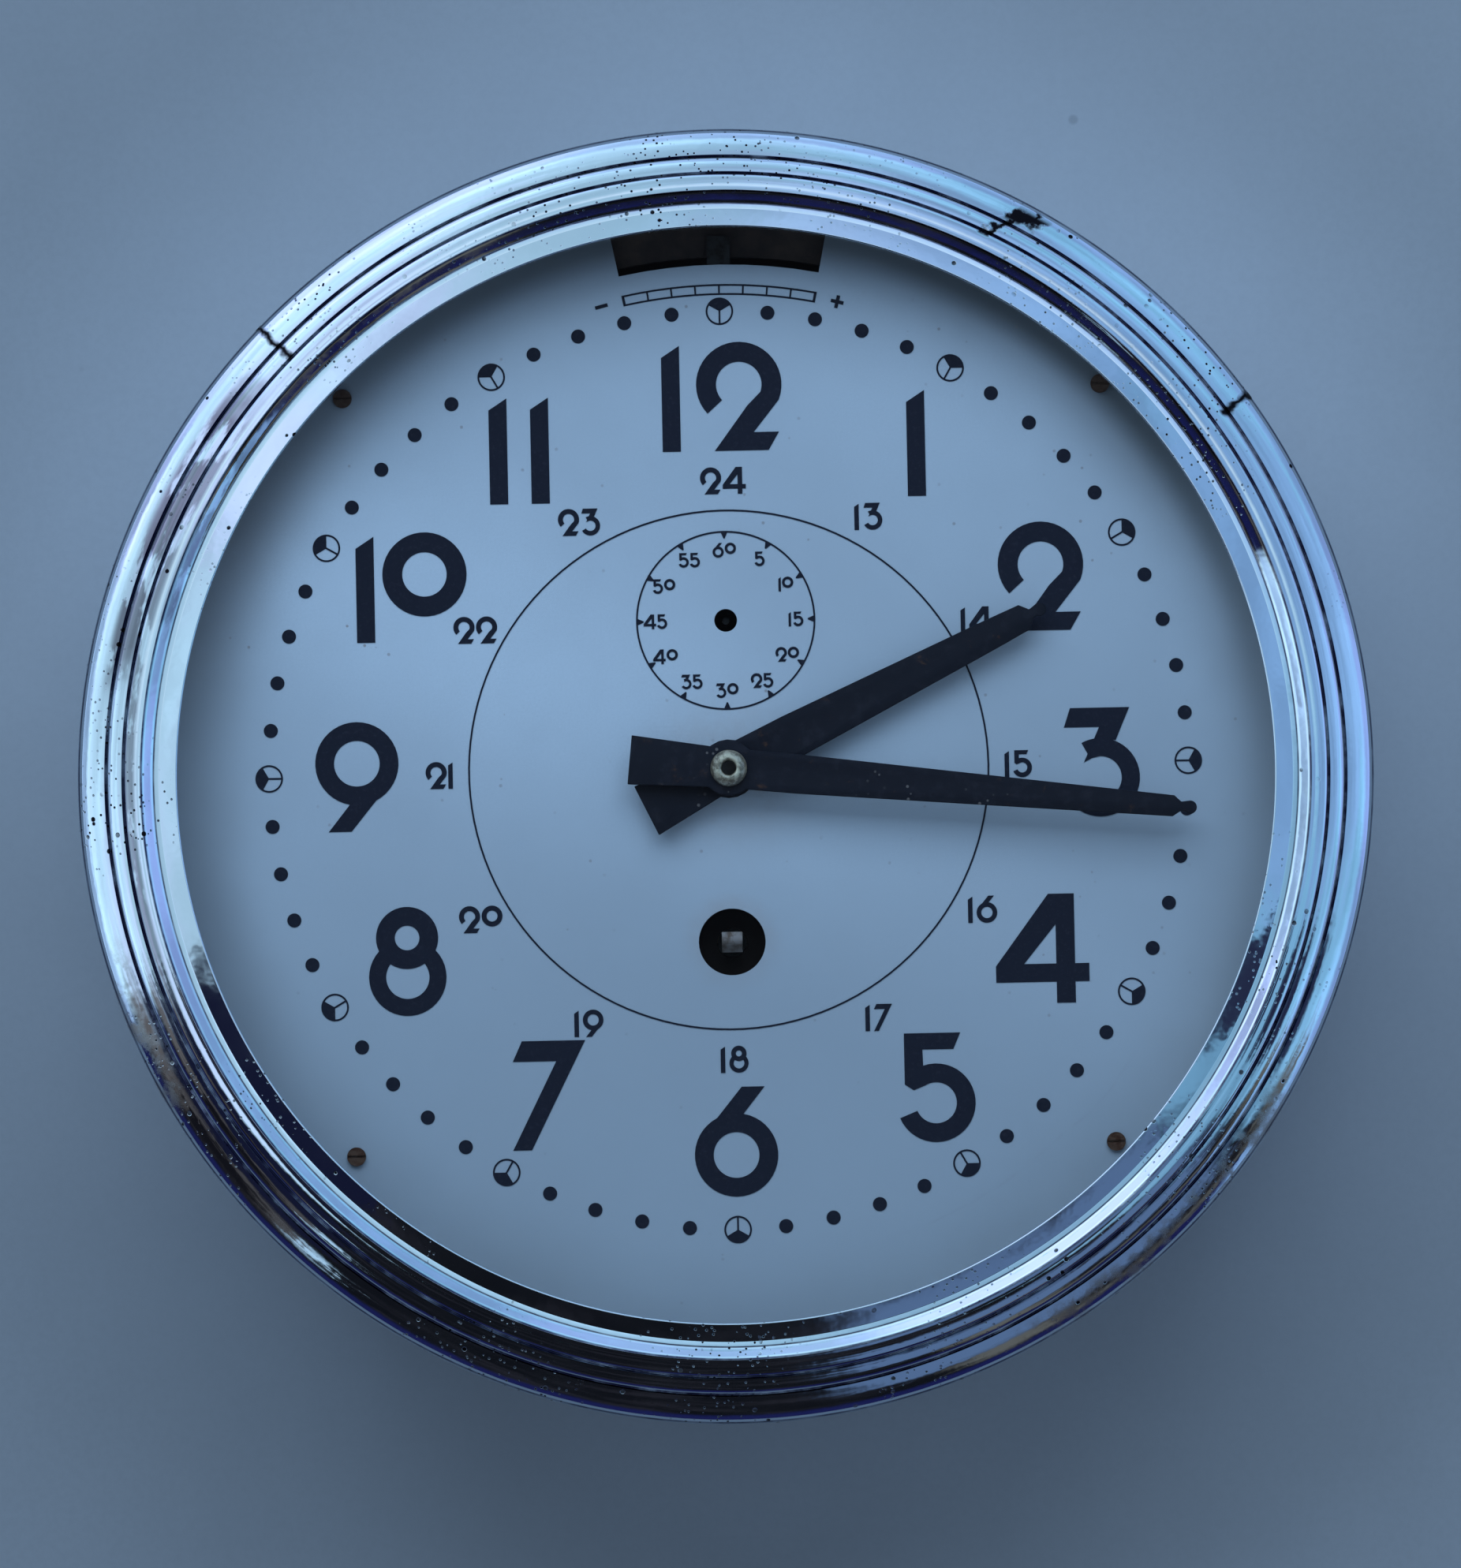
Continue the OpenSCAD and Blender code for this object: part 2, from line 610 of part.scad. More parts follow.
// From the lip over the ridge and its three rounded steps to the skirt, then back inside
module bezel_ring() from_wall() color(chrome) rotate_extrude() polygon(concat(
    [[lip_r, lip_z], [lip_r, lip_z + 1.7], [lip_r + 0.3, lip_z + 2],
     [lip_r + 2.5, lip_z + 1], [crest_r - 2.4, lip_z + 1],
     [crest_r - 1.9, lip_z + 1.3], [crest_r - 0.2, crest_z - 0.05], [crest_r, crest_z]],
    bow([crest_r + 0.5, crest_z - 0.25], [crest_r + 1.85, crest_z - 1.45], 0.12, 3),
    [[crest_r + 2.05, crest_z - 1.85]],
    bow([crest_r + 2.3, crest_z - 1.75], [crest_r + 4.8, crest_z - 3.75], 0.28, 5),
    [[crest_r + 5.05, crest_z - 4.2]],
    bow([crest_r + 5.3, crest_z - 4.05], [bezel_r - 0.7, crest_z - 7.3], 0.4, 6),
    bow([bezel_r - 0.65, crest_z - 7.4], [bezel_r, crest_z - 8.8], 0.2, 3),
    [[bezel_r, skirt_z], [bezel_r - skirt_wall, skirt_z], [bezel_r - skirt_wall, crest_z - 11.6],
     [plug_r + 2.4, under_z], [plug_r, under_z], [plug_r, bezel_seat_z],
     [glass_bore_r, bezel_seat_z], [glass_bore_r, lip_z]]));

module glass() from_wall() color("#cfe3ea", 0.35) rod(glass_r, glass_z, glass_t);

module glass_retainer() from_wall() color(brass) rotate_extrude() polygon([
    [glass_bore_r - 2.8, glass_z - 1.2], [glass_bore_r - 1.4, glass_z - retainer_h],
    [glass_bore_r - run, glass_z - retainer_h], [glass_bore_r - run, glass_z],
    [glass_bore_r - 2.8, glass_z]]);

// Hinge and catch

module hinge_leaf_bezel() from_wall() color(brass) {
    difference() {
        union() {
            translate([hinge_x, 0, hinge_z]) upright_rod(knuckle_r, -knuckle_mid / 2, knuckle_mid);
            translate([hinge_x + knuckle_r / 2, -knuckle_mid / 2, hinge_z])
                cube([knuckle_r / 2, knuckle_mid, under_z - hinge_z]);
            translate([hinge_x + knuckle_r / 2, -knuckle_mid / 2, bezel_seat_z + 2])
                cube([hinge_out - knuckle_r / 2, knuckle_mid, under_z - bezel_seat_z - 2]);
        }
        translate([hinge_x, 0, hinge_z])
            upright_rod(hinge_pin_r + run, -knuckle_mid / 2 - cut, knuckle_mid + 2 * cut);
        rod(plug_r + snug, bezel_seat_z, under_z - bezel_seat_z + cut);
    }
}

module hinge_leaf_case() from_wall() color(brass) difference() {
    union() {
        for (y = [-leaf_half, knuckle_mid / 2 + knuckle_gap])
            translate([hinge_x, 0, hinge_z]) upright_rod(knuckle_r, y, knuckle_end);
        translate([hinge_x + knuckle_r / 2, -leaf_half, hinge_z - leaf_l])
            cube([hinge_out + leaf_root, 2 * leaf_half, leaf_l]);
    }
    translate([hinge_x - cut, -knuckle_mid / 2 - knuckle_gap, hinge_z - knuckle_r - knuckle_gap])
        cube([knuckle_r + knuckle_gap + cut, knuckle_mid + 2 * knuckle_gap, 2 * knuckle_r]);
    translate([hinge_x, 0, hinge_z]) upright_rod(hinge_pin_r + snug, -leaf_half - cut, 2 * leaf_half + 2 * cut);
    rod(case_r + leaf_gap, hinge_z - leaf_l - cut, leaf_l + 2 * cut);
    for (side = [-1, 1]) translate([0, side * leaf_screw_y, leaf_screw_z])
        sideways_rod(leaf_screw_r + run, hinge_x, hinge_out + cut);
}

module hinge_pin() from_wall() color(steel) translate([hinge_x, 0, hinge_z]) {
    upright_rod(hinge_pin_r, -leaf_half - 0.2, 2 * leaf_half + 0.4);
    upright_rod(hinge_pin_r + 0.5, leaf_half + 0.2, 0.8);
    upright_rod(hinge_pin_r + 0.5, -leaf_half - 1, 0.8);
}

module catch_spring() from_wall() color(brass) difference() {
    translate([0, catch_w / 2, 0]) rotate([90, 0, 0]) linear_extrude(catch_w) polygon([
        [case_r + run, catch_foot_z], [case_r + catch_t, catch_foot_z], [case_r + catch_t, hinge_z - 5],
        [catch_x, skirt_z + 2], [catch_x, skirt_z + 3], [catch_x - 2.4, skirt_z + 6],
        [catch_x - 3.1, skirt_z + 5.6], [catch_x - 0.9, skirt_z + 2.7],
        [catch_x - 0.9, skirt_z + 2.3], [case_r + run, hinge_z - 4.4]]);
    translate([0, 0, leaf_screw_z]) sideways_rod(leaf_screw_r + run, case_r - cut, 3 * cut);
}

// Two screws hold the hinge leaf to the drum and one holds the catch spring
module leaf_screws() from_wall() color(steel) {
    head_x = hinge_x + knuckle_r / 2;
    for (side = [-1, 1]) translate([0, side * leaf_screw_y, leaf_screw_z]) {
        sideways_rod(leaf_head_r, head_x - leaf_head_h, leaf_head_h);
        sideways_rod(leaf_screw_r, head_x, -head_x - drum_in_r + 0.5);
    }
    translate([0, 0, leaf_screw_z]) {
        sideways_rod(leaf_head_r, case_r + catch_t, leaf_head_h);
        sideways_rod(leaf_screw_r, drum_in_r - 0.5, case_wall + catch_t + 0.55);
    }
}

// Dial

module dial_plate() from_wall() color(silvered) slab(dial_back, dial_t) difference() {
    circle(dial_r);
    circle(centre_hole_r);
    at(barrel_at) circle(wind_hole_r);
    at(fourth_at) circle(seconds_hole_r);
    ring_part(slot_out_r, slot_in_r, 90 - slot_half, 90 + slot_half);
    around(4, dial_screw_at, 45) circle(dial_screw_r + run);
}

module dial_screws() from_wall() color("#6b4a35") around(4, dial_screw_at, 45) difference() {
    union() {
        rod(dial_screw_head_r, dial_face, 0.8);
        rod(dial_screw_r, dial_back - seat_t + 1, dial_t + seat_t - 1);
    }
    translate([-2, -0.2, dial_face + 0.4]) cube([4, 0.4, 1]);
}

module hour_numerals() from_wall() color(ink) print()
    for (h = [1:12]) at(on_clock(hour_at, h * 30)) number(h, hour_h);

module day_numerals() from_wall() color(ink) print() {
    for (h = [13:24]) at(on_clock(day_at, h * 30)) number(h, day_h);
    ring(day_circle_r + line_w / 2, day_circle_r - line_w / 2);
}

module hour_marker() {
    ring(marker_r, marker_r - line_w);
    intersection() {
        circle(marker_r - line_w / 2);
        wedge(marker_r * 2, 30, 150);
    }
    translate([-line_w / 2, -marker_r + line_w / 2]) square([line_w, marker_r]);
}
module minute_track() from_wall() color(ink) print()
    for (m = [0:59]) rotate(-m * 6) translate([0, track_r]) {
        if (m % 5 == 0) hour_marker();
        else circle(dot_r);
    }

module seconds_ring() from_wall() color(ink) print() at(fourth_at) {
    ring(seconds_r, seconds_r - line_w);
    for (s = [1:12]) {
        rotate(-s * 30) polygon([[-0.6, seconds_r - line_w / 2], [0.6, seconds_r - line_w / 2],
                                 [0.1, seconds_r - 1.3], [-0.1, seconds_r - 1.3]]);
        at(on_clock(seconds_at, s * 30)) number(s * 5, seconds_h);
    }
}

module regulator_scale() from_wall() color(ink) print() {
    cells = 8;
    cell = 2 * slot_half / cells;
    line_angle = line_w / scale_r * 180 / PI;
    difference() {
        ring_part(scale_r, scale_r - scale_h, 90 - slot_half - line_angle, 90 + slot_half + line_angle);
        for (i = [0:cells - 1]) let (a = 90 - slot_half + i * cell)
            ring_part(scale_r - line_w, scale_r - scale_h + line_w,
                      a + line_angle / 2, a + cell - line_angle / 2);
    }
    for (side = [-1, 1]) rotate(-side * 14.2) translate([0, scale_r - scale_h / 2]) {
        translate([-1.1, -line_w]) square([2.2, 2 * line_w]);
        if (side > 0) translate([-line_w, -1.1]) square([2 * line_w, 2.2]);
    }
}

// Right edge of a hand that points to twelve: tail, hub, blade and nib
function hand_edge(length, hub, root_w, knee, knee_w, end_w, tail, tail_w) =
    let (hub_from = -49, hub_to = acos(root_w / hub), nib_from = -acos(nib_w / nib_r))
    concat([[tail_w, -tail]],
           [for (i = [0:12]) polar(hub, hub_from + (hub_to - hub_from) * i / 12)],
           [[root_w, root_l], [knee_w, length - knee], [end_w, length - shoulder], [nib_w, length - neck]],
           [for (i = [0:8]) [0, length - nib_r] + polar(nib_r, nib_from + (90 - nib_from) * i / 8)]);
function both_edges(e) = concat(e, [for (i = [len(e) - 2:-1:0]) [-e[i][0], e[i][1]]]);

module hour_hand() from_wall() color(black) slab(hour_z, hand_t) rotate(-hour_now)
    difference() {
        polygon(both_edges(hand_edge(
            hour_l, hour_hub_r, hour_root_w, hour_knee, hour_knee_w, hour_end_w, hour_tail, hour_tail_w)));
        circle(hour_pipe_r + snug);
    }

module minute_hand() from_wall() color(black) slab(minute_z, hand_t) rotate(-minute_now)
    difference() {
        polygon(both_edges(hand_edge(
            minute_l, minute_hub_r, minute_root_w, minute_knee, minute_knee_w, minute_end_w, minute_tail,
            minute_tail_w)));
        circle(cannon_r + snug);
    }

module hand_nut() from_wall() color("#c9c6b4") difference() {
    rotate_extrude() polygon([[0, nut_z], [nut_r, nut_z], [nut_r, nut_z + nut_h - 0.7],
        [nut_r - 0.7, nut_z + nut_h], [0, nut_z + nut_h]]);
    rod(centre_tip_r + snug, nut_z - cut, nut_h + 2 * cut);
}

// Movement frame

module at_pillars() {
    around(2, post_at, 30) children();
    around(2, post_at, 150) children();
}

// Pivots of the train, each as its place and the radius of its hole
pivots = [[inter_at, pivot_r], [third_at, pivot_r], [escape_at, pivot_r], [pallet_at, pivot_r]];

module front_plate() from_wall() color(brass) {
    slab(front_plate_back, plate_t) difference() {
        circle(plate_r);
        circle(centre_tip_r + run);
        at(barrel_at) circle(wind_r + run);
        at(fourth_at) circle(pivot_r + run);
        at(balance_at) circle(window_r);
        for (p = pivots) at(p[0]) circle(p[1] + run);
        at_pillars() circle(spigot_r + snug);
        for (a = foot_angles) at(on_clock(post_at, a)) circle(post_screw_r + run);
        for (side = [-1, 1]) at(balance_at + [side * cock_screw_x, 0]) circle(cock_screw_r + run);
    }
    at(minute_wheel_at) rod(stud_r, front_plate_z - cut, 4.2 + cut);
}

module back_plate() from_wall() color(brass) difference() {
    slab(back_plate_z, plate_t) difference() {
        circle(plate_r);
        circle(0.8 + run);
        at(barrel_at) circle(wind_r + run);
        at(fourth_at) circle(pivot_r + run);
        at(balance_at) circle(staff_pivot_r + run);
        for (p = pivots) at(p[0]) circle(p[1] + run);
        at_pillars() circle(post_screw_r + run);
        at(click_at) circle(1 + snug);
        at(click_spring_at) circle(0.7 + snug);
    }
}

module pillars() from_wall() color(brass) at_pillars() difference() {
    union() {
        rod(pillar_r, back_plate_front, plate_gap);
        rod(spigot_r, front_plate_back - cut, plate_t + cut);
    }
    rod(post_screw_r + run, back_plate_front - cut, 7 + cut);
}

module plate_screws() from_wall() color(steel) at_pillars() difference() {
    union() {
        rod(post_head_r, back_plate_z - post_head_h, post_head_h);
        rod(post_screw_r, back_plate_z - 0.2, plate_t + 5);
    }
    translate([-post_head_r - cut, -0.25, back_plate_z - post_head_h - 0.5])
        cube([2 * post_head_r + 2 * cut, 0.5, 1.1]);
}

module dial_feet() from_wall() color(brass) for (a = foot_angles) at(on_clock(post_at, a)) difference() {
    rod(foot_r, front_plate_z, foot_l);
    rod(post_screw_r + run, front_plate_z - cut, foot_l - 1);
}

module foot_screws() from_wall() color(steel) for (a = foot_angles) at(on_clock(post_at, a)) difference() {
    union() {
        rod(post_head_r, front_plate_back - post_head_h, post_head_h);
        rod(post_screw_r, front_plate_back - 0.2, plate_t + foot_l - 2.5);
    }
    translate([-post_head_r - cut, -0.25, front_plate_back - post_head_h - 0.5])
        cube([2 * post_head_r + 2 * cut, 0.5, 1.1]);
}

// Power

// Teeth of each wheel start on the line to the pinion that it drives; pinions have a gap there
module barrel() from_wall() color(brass) at(barrel_at) difference() {
    union() {
        slab(barrel_z, barrel_rim_h) wheel(barrel_teeth, power_module, way(barrel_at, inter_at));
        rod(drum_r, drum_z - cut, drum_h + cut);
    }
    rod(drum_r - drum_wall, drum_z, drum_h + cut);
    rod(wind_r + run, barrel_z - cut, drum_h + 4 * cut);
}

module barrel_cap() from_wall() color(brass) at(barrel_at)
    slab(cap_z, cap_t) ring(drum_r, wind_r + run);

module mainspring() from_wall() color("#4a5160") at(barrel_at) slab(drum_z + 0.7, drum_h - 1.4)
    polygon(spiral(spring_turns, hub_r + 0.5, drum_r - drum_wall - spring_t / 2 - snug, spring_t,
                   0, 200, 15));

module barrel_arbor() from_wall() color(steel) at(barrel_at) {
    rod(wind_r, back_plate_z - 0.2, front_plate_z - back_plate_z + 0.4);
    rod(hub_r, drum_z + shake, drum_h - 2 * shake);
    slab(back_plate_z - 2.6, 2.8) square(square_w, center = true);
    slab(front_plate_z, dial_face - square_in - front_plate_z) square(square_w, center = true);
}

module ratchet_wheel() from_wall() color(steel) at(barrel_at) slab(ratchet_z, ratchet_t) difference() {
    polygon(toothed(ratchet_teeth, [[ratchet_root_r, 0], [ratchet_r, 1.76], [ratchet_r, 1.96],
                                    [ratchet_root_r, 1.99]], 90));
    square(square_w + 2 * run, center = true);
}

click_at = barrel_at + [-13, ratchet_r + 0.2];
click_spring_at = click_at + [-1, 6.5];
module ratchet_click() from_wall() color(steel) slab(ratchet_z, click_t) difference() {
    union() {
        at(click_at) circle(2.2);
        polygon([barrel_at + polar(ratchet_root_r + 0.3, 91.2), barrel_at + polar(ratchet_r + 0.6, 91.2),
                 click_at + [0, 2], click_at + [0, -1.6], barrel_at + polar(ratchet_r + 0.3, 106),
                 barrel_at + polar(ratchet_root_r + 1.1, 98)]);
    }
    at(click_at) circle(1 + run);
}

module click_screws() from_wall() color(steel) {
    at(click_at) {
        rod(1, ratchet_z - 0.2, click_t + 2.5);
        rod(1.8, ratchet_z - 1, 0.8);
    }
    at(click_spring_at) {
        rod(0.7, ratchet_z - 0.2, click_t + 2.5);
        rod(1.5, ratchet_z - 1, 0.8);
    }
}

// A flat blade that presses the click on to the ratchet wheel
module click_spring() from_wall() color(steel) slab(ratchet_z, click_t) difference() {
    union() {
        at(click_spring_at) circle(1.8);
        polygon([click_spring_at + [0, 1.3], click_spring_at + [0, 0.3], click_at + [10.4, 1.7],
                 click_at + [11, 1.2], click_at + [11.3, 1.8], click_at + [10.6, 2.5]]);
    }
    at(click_spring_at) circle(0.7 + snug);
}

module intermediate_arbor() from_wall() color(steel) at(inter_at) {
    arbor(1.2, back_plate_front, front_plate_back);
    slab(inter_pinion_z, barrel_rim_h + 0.8)
        pinion(inter_pinion_teeth, power_module, way(inter_at, barrel_at) + 180 / inter_pinion_teeth);
}

module intermediate_wheel() from_wall() color(brass) at(inter_at) slab(inter_z, wheel_t)
    train_wheel(inter_teeth, power_module, way(inter_at, centre_at), 1.2 + snug);

// Train

module centre_arbor() from_wall() color(steel) {
    rod(0.8, back_plate_z, plate_t + 1);
    rod(1.6, back_plate_front + shake, plate_gap - 2 * shake);
    rod(centre_tip_r, front_plate_back - cut, nut_z + nut_h - 0.6 - front_plate_back + cut);
    slab(centre_pinion_z, wheel_t + 2 * leaf_over)
        pinion(centre_pinion_teeth, power_module, way(centre_at, inter_at) + 180 / centre_pinion_teeth);
}

module centre_wheel() from_wall() color(brass) slab(centre_z, wheel_t + 0.2)
    train_wheel(centre_teeth, centre_module, way(centre_at, third_at), 1.6 + snug);

module third_arbor() from_wall() color(steel) at(third_at) {
    arbor(1, back_plate_front, front_plate_back);
    slab(centre_z - leaf_over, wheel_t + 0.2 + 2 * leaf_over)
        pinion(third_pinion_teeth, centre_module, way(third_at, centre_at) + 180 / third_pinion_teeth);
}

module third_wheel() from_wall() color(brass) at(third_at) slab(third_z, wheel_t)
    train_wheel(third_teeth, third_module, way(third_at, fourth_at), 1 + snug);

// The long front pivot of this arbor carried the seconds hand
module fourth_arbor() from_wall() color(steel) at(fourth_at) {
    arbor(1, back_plate_front, front_plate_back);
    rod(pivot_r, front_plate_back, plate_t + foot_l - 2);
    slab(third_z - leaf_over, wheel_t + 2 * leaf_over)
        pinion(fourth_pinion_teeth, third_module, way(fourth_at, third_at) + 180 / fourth_pinion_teeth);
}

module fourth_wheel() from_wall() color(brass) at(fourth_at) slab(fourth_z, wheel_t)
    train_wheel(fourth_teeth, fourth_module, way(fourth_at, escape_at), 1 + snug);

module escape_arbor() from_wall() color(steel) at(escape_at) {
    arbor(0.8, back_plate_front, front_plate_back);
    slab(fourth_z - leaf_over, wheel_t + 2 * leaf_over)
        pinion(escape_pinion_teeth, fourth_module, way(escape_at, fourth_at) + 180 / escape_pinion_teeth);
}

// Fifteen pointed teeth, one of them towards the pallet arbor
module escape_wheel() from_wall() color(brass) at(escape_at) slab(escape_z, escape_t) difference() {
    polygon(toothed(15, [[escape_r - 1.7, -0.8], [escape_r, -0.06], [escape_r, 0.06],
                         [escape_r - 1.6, 0.24]], lever_angle));
    circle(0.8 + snug);
    windows(4, escape_r - 2.5, 1.8, 0.8, 0);
}

module cannon_pinion() from_wall() color(steel) difference() {
    union() {
        slab(cannon_z, cannon_h) pinion(cannon_teeth, motion_module, motion_angle + 180 / cannon_teeth);
        rod(cannon_r, cannon_z, minute_z + hand_t - cannon_z);
    }
    rod(centre_tip_r + snug, cannon_z - cut, minute_z + hand_t - cannon_z + 2 * cut);
}

module minute_wheel() from_wall() color(brass) at(minute_wheel_at) difference() {
    union() {
        slab(minute_wheel_z, minute_wheel_t) wheel(minute_wheel_teeth, motion_module, motion_angle + 180);
        slab(minute_wheel_z, hour_wheel_z - minute_wheel_z + hour_wheel_t + 0.3)
            pinion(minute_pinion_teeth, hour_module, motion_angle + 180 + 180 / minute_pinion_teeth);
    }
    rod(stud_r + run, minute_wheel_z - cut, 6);
}

module hour_wheel() from_wall() color(brass) difference() {
    union() {
        slab(hour_wheel_z, hour_wheel_t) wheel(hour_wheel_teeth, hour_module, motion_angle);
        rod(hour_pipe_r, hour_wheel_z, hour_z + hand_t - hour_wheel_z);
    }
    rod(cannon_r + run, hour_wheel_z - cut, hour_z + hand_t - hour_wheel_z + 2 * cut);
}

// Escapement

// Upper edge of the fork from its slot over the stone to the hub, with the arbor at the origin
function fork_edge() = concat(
    [[lever_l - 2.8, 0.4], [lever_l - 1.8, 0.4], [lever_l - 1.8, 1.1], [lever_l - 3.2, 1.1],
     [lever_l - 3.6, 0.5], [1.2, 0.6]],
    [for (p = [[1.7, 0.5], [0.8, 0.5], [0.8, 0.35], [pallet_gap, 0.35], [pallet_gap, -0.35], [0.9, -0.35]])
        [-pallet_l, 0] + polar(escape_r + p[0], pallet_span) + polar(p[1], pallet_span + 90)],
    [[escape_r + 2.5 * pallet_gap - pallet_l, 0.6]]);
module pallet_fork() from_wall() color(steel) at(pallet_at) rotate(lever_angle)
    slab(escape_z, escape_t) difference() {
        e = fork_edge();
        polygon(concat(e, [for (i = [len(e) - 1:-1:0]) [e[i][0], -e[i][1]]]));
        circle(pivot_r + snug);
    }

module pallet_arbor() from_wall() color(steel) at(pallet_at)
    rod(pivot_r, back_plate_z, plate_gap + 2 * plate_t);

module balance_wheel() from_wall() color(brass) at(balance_at) slab(balance_z, balance_t) {
    difference() {
        union() {
            ring(balance_r, balance_r - 1.2);
            circle(1.9);
            rotate(lever_angle + 90) translate([-balance_r + 0.6, -0.7]) square([2 * balance_r - 1.2, 1.4]);
        }
        circle(staff_r + snug);
    }
}

module balance_staff() from_wall() color(steel) at(balance_at) {
    rod(staff_r, back_plate_front + shake, front_plate_z - back_plate_front - 2 * shake);
    rod(staff_pivot_r, back_plate_z, front_plate_z + cock_t - back_plate_z);
    rod(roller_r, roller_z, roller_t);
    rod(collet_r, hair_z - 0.2, hair_h + 0.4);
    rotate(lever_angle) translate([-roller_pin_at, 0, 0])
        rod(roller_pin_r, roller_z - 0.4 + roller_pin_gap, roller_t + 0.2);
}

module hairspring() from_wall() color("#3d4a66") at(balance_at) slab(hair_z, hair_h)
    polygon(spiral(hair_turns, collet_r + hair_t / 2 + run, hair_r, hair_t,
                   stud_angle - asin(hair_stud_r / hair_r), 110, 15));

module hairspring_stud() from_wall() color(steel) at(balance_at + polar(hair_r + hair_stud_out, stud_angle))
    rod(hair_stud_r, hair_z - 0.3, cock_z - hair_z + 0.3);

module balance_cock() from_wall() color(brass) at(balance_at) difference() {
    union() {
        slab(cock_z, cock_t) union() {
            translate([-cock_screw_x, -cock_w / 2]) square([2 * cock_screw_x, cock_w]);
            for (side = [-1, 1]) translate([side * cock_screw_x, 0]) circle(cock_w / 2);
        }
        rod(cock_boss_r, cock_z, cock_t + cock_boss_h);
    }
    rod(staff_pivot_r + run, cock_z - cut, cock_t + cock_boss_h + 2 * cut);
    for (side = [-1, 1])
        translate([side * cock_screw_x, 0, 0]) rod(cock_screw_r + run, cock_z - cut, cock_t + 2 * cut);
}

module cock_screws() from_wall() color(steel) for (side = [-1, 1])
    at(balance_at + [side * cock_screw_x, 0]) difference() {
        union() {
            rod(cock_head_r, cock_z + cock_t, 1);
            rod(cock_screw_r, cock_z - plate_t + 0.2, cock_t + plate_t);
        }
        translate([-2, -0.2, cock_z + cock_t + 0.6]) cube([4, 0.4, 1]);
    }

// Turns on the cock's boss; its curb pins hold the hairspring and its end shows in the slot
module regulator_index() from_wall() color(steel) at(balance_at) {
    slab(index_z, index_t) difference() {
        union() {
            circle(index_ring_r);
            polygon([[-index_root_w, 2], [index_root_w, 2], [index_w / 2, index_bend],
                     [index_w / 2, index_bend + index_t], [-index_w / 2, index_bend + index_t],
                     [-index_w / 2, index_bend]]);
            translate([-1.1, -curb_at[1] - 0.8]) square([2.2, 4]);
        }
        circle(cock_boss_r + run);
    }
    translate([-index_w / 2, index_bend, index_z]) cube([index_w, index_t, index_tip_z + index_t - index_z]);
    translate([-index_w / 2, index_bend, index_tip_z]) cube([index_w, index_end - index_bend, index_t]);
    for (y = curb_at) translate([0, -y, 0]) rod(curb_pin_r, hair_z - 0.3, index_z - hair_z + 0.5);
}

case_drum();
dial_seat_ring();
bezel_ring();
glass();
glass_retainer();
hinge_leaf_case();
hinge_leaf_bezel();
hinge_pin();
catch_spring();
leaf_screws();
dial_plate();
dial_screws();
hour_numerals();
day_numerals();
minute_track();
seconds_ring();
regulator_scale();
hour_hand();
minute_hand();
hand_nut();
front_plate();
back_plate();
pillars();
plate_screws();
dial_feet();
foot_screws();
barrel();
barrel_cap();
mainspring();
barrel_arbor();
ratchet_wheel();
ratchet_click();
click_spring();
click_screws();
intermediate_arbor();
intermediate_wheel();
centre_arbor();
centre_wheel();
third_arbor();
third_wheel();
fourth_arbor();
fourth_wheel();
escape_arbor();
escape_wheel();
cannon_pinion();
minute_wheel();
hour_wheel();
pallet_fork();
pallet_arbor();
balance_wheel();
balance_staff();
hairspring();
hairspring_stud();
balance_cock();
cock_screws();
regulator_index();
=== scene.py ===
"""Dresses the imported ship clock: chromed bezel, silvered dial, worn black hands, movement and wall."""

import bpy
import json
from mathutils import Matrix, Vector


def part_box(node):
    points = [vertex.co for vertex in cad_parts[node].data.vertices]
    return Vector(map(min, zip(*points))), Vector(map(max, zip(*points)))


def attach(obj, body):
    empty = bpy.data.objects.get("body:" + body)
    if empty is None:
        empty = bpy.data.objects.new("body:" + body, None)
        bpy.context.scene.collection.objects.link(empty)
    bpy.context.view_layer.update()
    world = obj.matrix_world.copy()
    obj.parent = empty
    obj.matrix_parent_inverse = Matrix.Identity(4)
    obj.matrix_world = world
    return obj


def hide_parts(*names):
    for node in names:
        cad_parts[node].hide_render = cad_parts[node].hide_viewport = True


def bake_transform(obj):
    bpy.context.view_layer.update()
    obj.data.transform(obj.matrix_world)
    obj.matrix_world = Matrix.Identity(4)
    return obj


bl_info = {
    "name": "Ship clock",
    "version": (1, 0, 0),
    "blender": (4, 5, 0),
    "location": "View3D > Sidebar > Ship clock",
    "description": "Builds the looks of a round ship clock around its packed parts",
    "category": "Add Mesh",
}

import json
import math

import bmesh
import bpy
from mathutils import Matrix, Vector

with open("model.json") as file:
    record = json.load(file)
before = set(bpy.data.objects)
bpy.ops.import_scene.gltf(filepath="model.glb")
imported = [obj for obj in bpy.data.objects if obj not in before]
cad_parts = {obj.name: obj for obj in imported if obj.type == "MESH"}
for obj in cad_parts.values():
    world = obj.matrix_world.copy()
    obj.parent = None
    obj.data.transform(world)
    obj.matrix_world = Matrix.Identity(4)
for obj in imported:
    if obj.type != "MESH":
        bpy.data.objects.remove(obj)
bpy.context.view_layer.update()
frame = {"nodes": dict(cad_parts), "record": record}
NODES = frame["nodes"]
SLOTS = {part["node"]: part["material_slot"] for part in frame["record"]["subparts"]}
MM = 0.001
# Points closer than this are one point, in metres
SAME_POINT = 1e-7


def far_edge(node):
    """Largest distance from the wall that a node reaches, in metres."""
    return -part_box(node)[0].y


